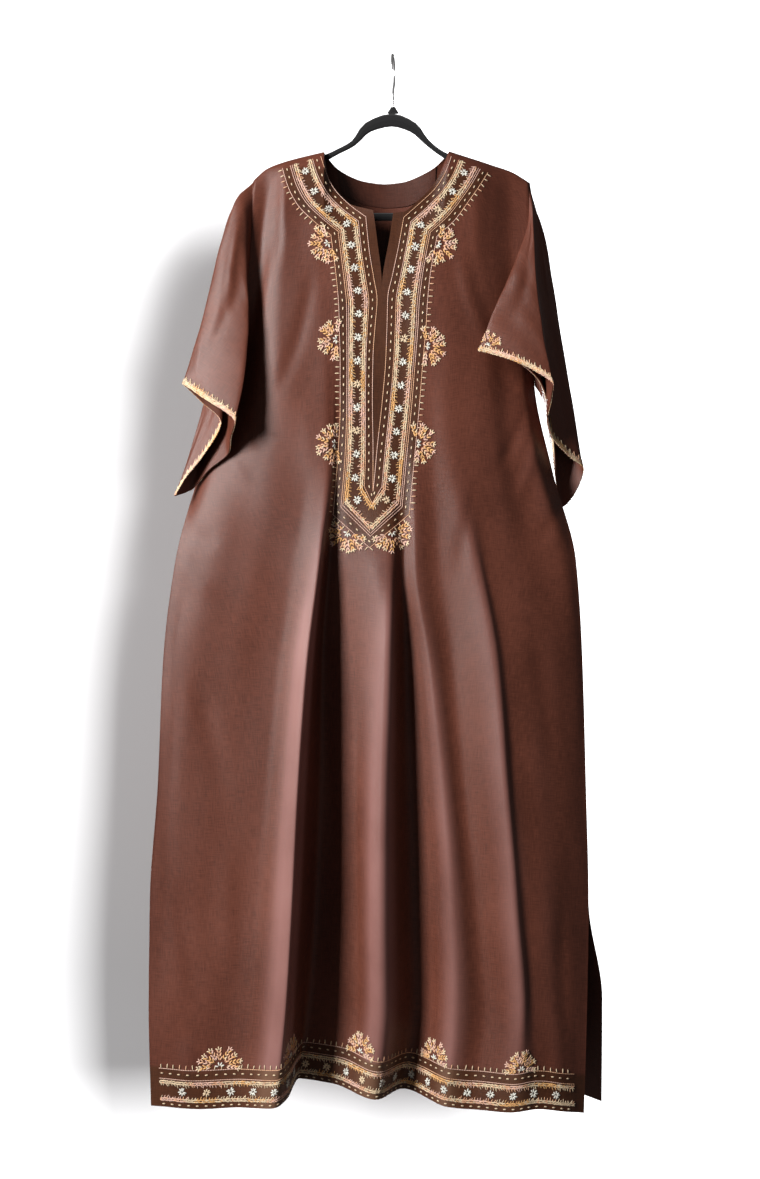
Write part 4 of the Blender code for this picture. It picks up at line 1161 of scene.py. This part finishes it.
# Hook: bright steel wire bent round by hand tools, its open end cut square, its stem set into
# the collar on the hanger's arch. It swivels on the real hanger and is fixed here.
steel = bpy.data.materials.new("bright_steel_wire")
steel.use_nodes = True
nodes = steel.node_tree.nodes
links = steel.node_tree.links
shader = nodes["Principled BSDF"]
shader.inputs["Base Color"].default_value = (0.80, 0.80, 0.81, 1)
shader.inputs["Metallic"].default_value = 0.75
place = nodes.new("ShaderNodeTexCoord")
rub = nodes.new("ShaderNodeTexNoise")
rub.inputs["Scale"].default_value = 420
links.new(place.outputs["Object"], rub.inputs["Vector"])
shine = nodes.new("ShaderNodeMapRange")
shine.inputs["To Min"].default_value = 0.14
shine.inputs["To Max"].default_value = 0.30
links.new(rub.outputs["Fac"], shine.inputs["Value"])
links.new(shine.outputs["Result"], shader.inputs["Roughness"])
for slot in frame["nodes"]["hanger_hook"].material_slots:
    slot.material = steel

# Studio: a pale floor that curves up into a pale wall behind, a tall soft light from the left
# front that falls on the dress alone, and two soft lights that fall on the wall alone and leave
# the dress's shadow at its left. The wall is clear from behind, where one more soft light falls
# on the back of the dress. The camera is level with the middle of the garment.
FLOOR_Z = -2.0
WALL_Y = 0.42
CURVE = 0.5
bpy.ops.object.select_all(action="DESELECT")
bpy.ops.mesh.primitive_plane_add(size=1)
floor = bpy.context.object
floor.name = "studio_floor"
bpy.ops.object.mode_set(mode="EDIT")
bpy.ops.mesh.select_all(action="SELECT")
bpy.ops.transform.resize(value=(10, 6, 1))
bpy.ops.transform.translate(value=(0, WALL_Y - CURVE - 3, FLOOR_Z))
bpy.ops.mesh.select_mode(type="EDGE")
bpy.ops.mesh.select_all(action="DESELECT")
bpy.ops.object.mode_set(mode="OBJECT")
for edge in floor.data.edges:
    ends = [floor.data.vertices[number].co.y for number in edge.vertices]
    edge.select = min(ends) > WALL_Y - CURVE - 0.001
bpy.ops.object.mode_set(mode="EDIT")
bpy.ops.mesh.spin(steps=16, angle=math.radians(-90), axis=(1, 0, 0),
                  center=(0, WALL_Y - CURVE, FLOOR_Z + CURVE))
bpy.ops.mesh.extrude_region_move(TRANSFORM_OT_translate={"value": (0, 0, 4)})
bpy.ops.object.mode_set(mode="OBJECT")
bpy.ops.object.shade_smooth()
paper = bpy.data.materials.new("studio_paper")
paper.use_nodes = True
paper.node_tree.nodes["Principled BSDF"].inputs["Base Color"].default_value = (0.92, 0.92, 0.93, 1)
paper.node_tree.nodes["Principled BSDF"].inputs["Roughness"].default_value = 0.9
paper.node_tree.nodes["Principled BSDF"].inputs["Specular IOR Level"].default_value = 0.1
floor.data.materials.append(paper)
side_seen = paper.node_tree.nodes.new("ShaderNodeNewGeometry")
clear = paper.node_tree.nodes.new("ShaderNodeBsdfTransparent")
one_way = paper.node_tree.nodes.new("ShaderNodeMixShader")
paper.node_tree.links.new(side_seen.outputs["Backfacing"], one_way.inputs["Fac"])
paper.node_tree.links.new(paper.node_tree.nodes["Principled BSDF"].outputs["BSDF"],
                          one_way.inputs[1])
paper.node_tree.links.new(clear.outputs["BSDF"], one_way.inputs[2])
paper.node_tree.links.new(one_way.outputs["Shader"],
                          paper.node_tree.nodes["Material Output"].inputs["Surface"])
floor.visible_diffuse = False
floor.visible_glossy = False
floor.visible_shadow = False

world = bpy.data.worlds.new("soft_room")
world.use_nodes = True
world.node_tree.nodes["Background"].inputs["Color"].default_value = (1.0, 0.98, 0.97, 1)
world.node_tree.nodes["Background"].inputs["Strength"].default_value = 0.08
bpy.context.scene.world = world


def soft_light(name, place, aim, size, power, colour):
    lamp = bpy.data.lights.new(name, "AREA")
    lamp.shape = "RECTANGLE"
    lamp.size = size[0]
    lamp.size_y = size[1]
    lamp.energy = power
    lamp.color = colour
    holder = bpy.data.objects.new(name, lamp)
    bpy.context.scene.collection.objects.link(holder)
    holder.location = place
    direction = np.array(aim) - np.array(place)
    flat = math.hypot(direction[0], direction[1])
    holder.rotation_euler = (math.atan2(flat, -direction[2]), 0,
                             math.atan2(direction[1], direction[0]) - math.pi / 2)
    return holder


window = soft_light("window_left", (-2.4, -1.75, 0.2), (0, 0, -0.88), (0.8, 1.6), 160,
                    (1.0, 0.985, 0.97))
on_the_wall = bpy.data.collections.new("on_the_wall")
for thing in bpy.context.scene.objects:
    if thing.type == "MESH" and thing is not floor:
        on_the_wall.objects.link(thing)
window.light_linking.receiver_collection = on_the_wall
behind = soft_light("window_behind", (-0.3, 2.9, 0), (0, 0, -0.88), (0.9, 1.6), 80,
                    (1.0, 0.99, 0.98))
behind.light_linking.receiver_collection = on_the_wall
wall_light = soft_light("wall_light", (0.9, -2.3, -0.5), (-0.2, 0.4, -0.8), (0.9, 1.2), 200,
                        (1.0, 1.0, 1.0))
wall_fill = soft_light("wall_fill", (-1.6, -2.4, -0.4), (-0.1, 0.4, -0.8), (1.2, 1.6), 40,
                       (1.0, 1.0, 1.0))
only_wall = bpy.data.collections.new("only_wall")
only_wall.objects.link(floor)
for lamp in (wall_light, wall_fill):
    lamp.light_linking.receiver_collection = only_wall

camera = bpy.data.cameras.new("camera")
camera.sensor_width = 36
camera.lens = 40.2
viewer = bpy.data.objects.new("camera", camera)
viewer.location = (-0.0198, -2.0, -0.809)
viewer.rotation_euler = (math.radians(90), 0, 0)
bpy.context.scene.collection.objects.link(viewer)
bpy.context.scene.camera = viewer
bpy.context.scene.view_settings.view_transform = "Standard"
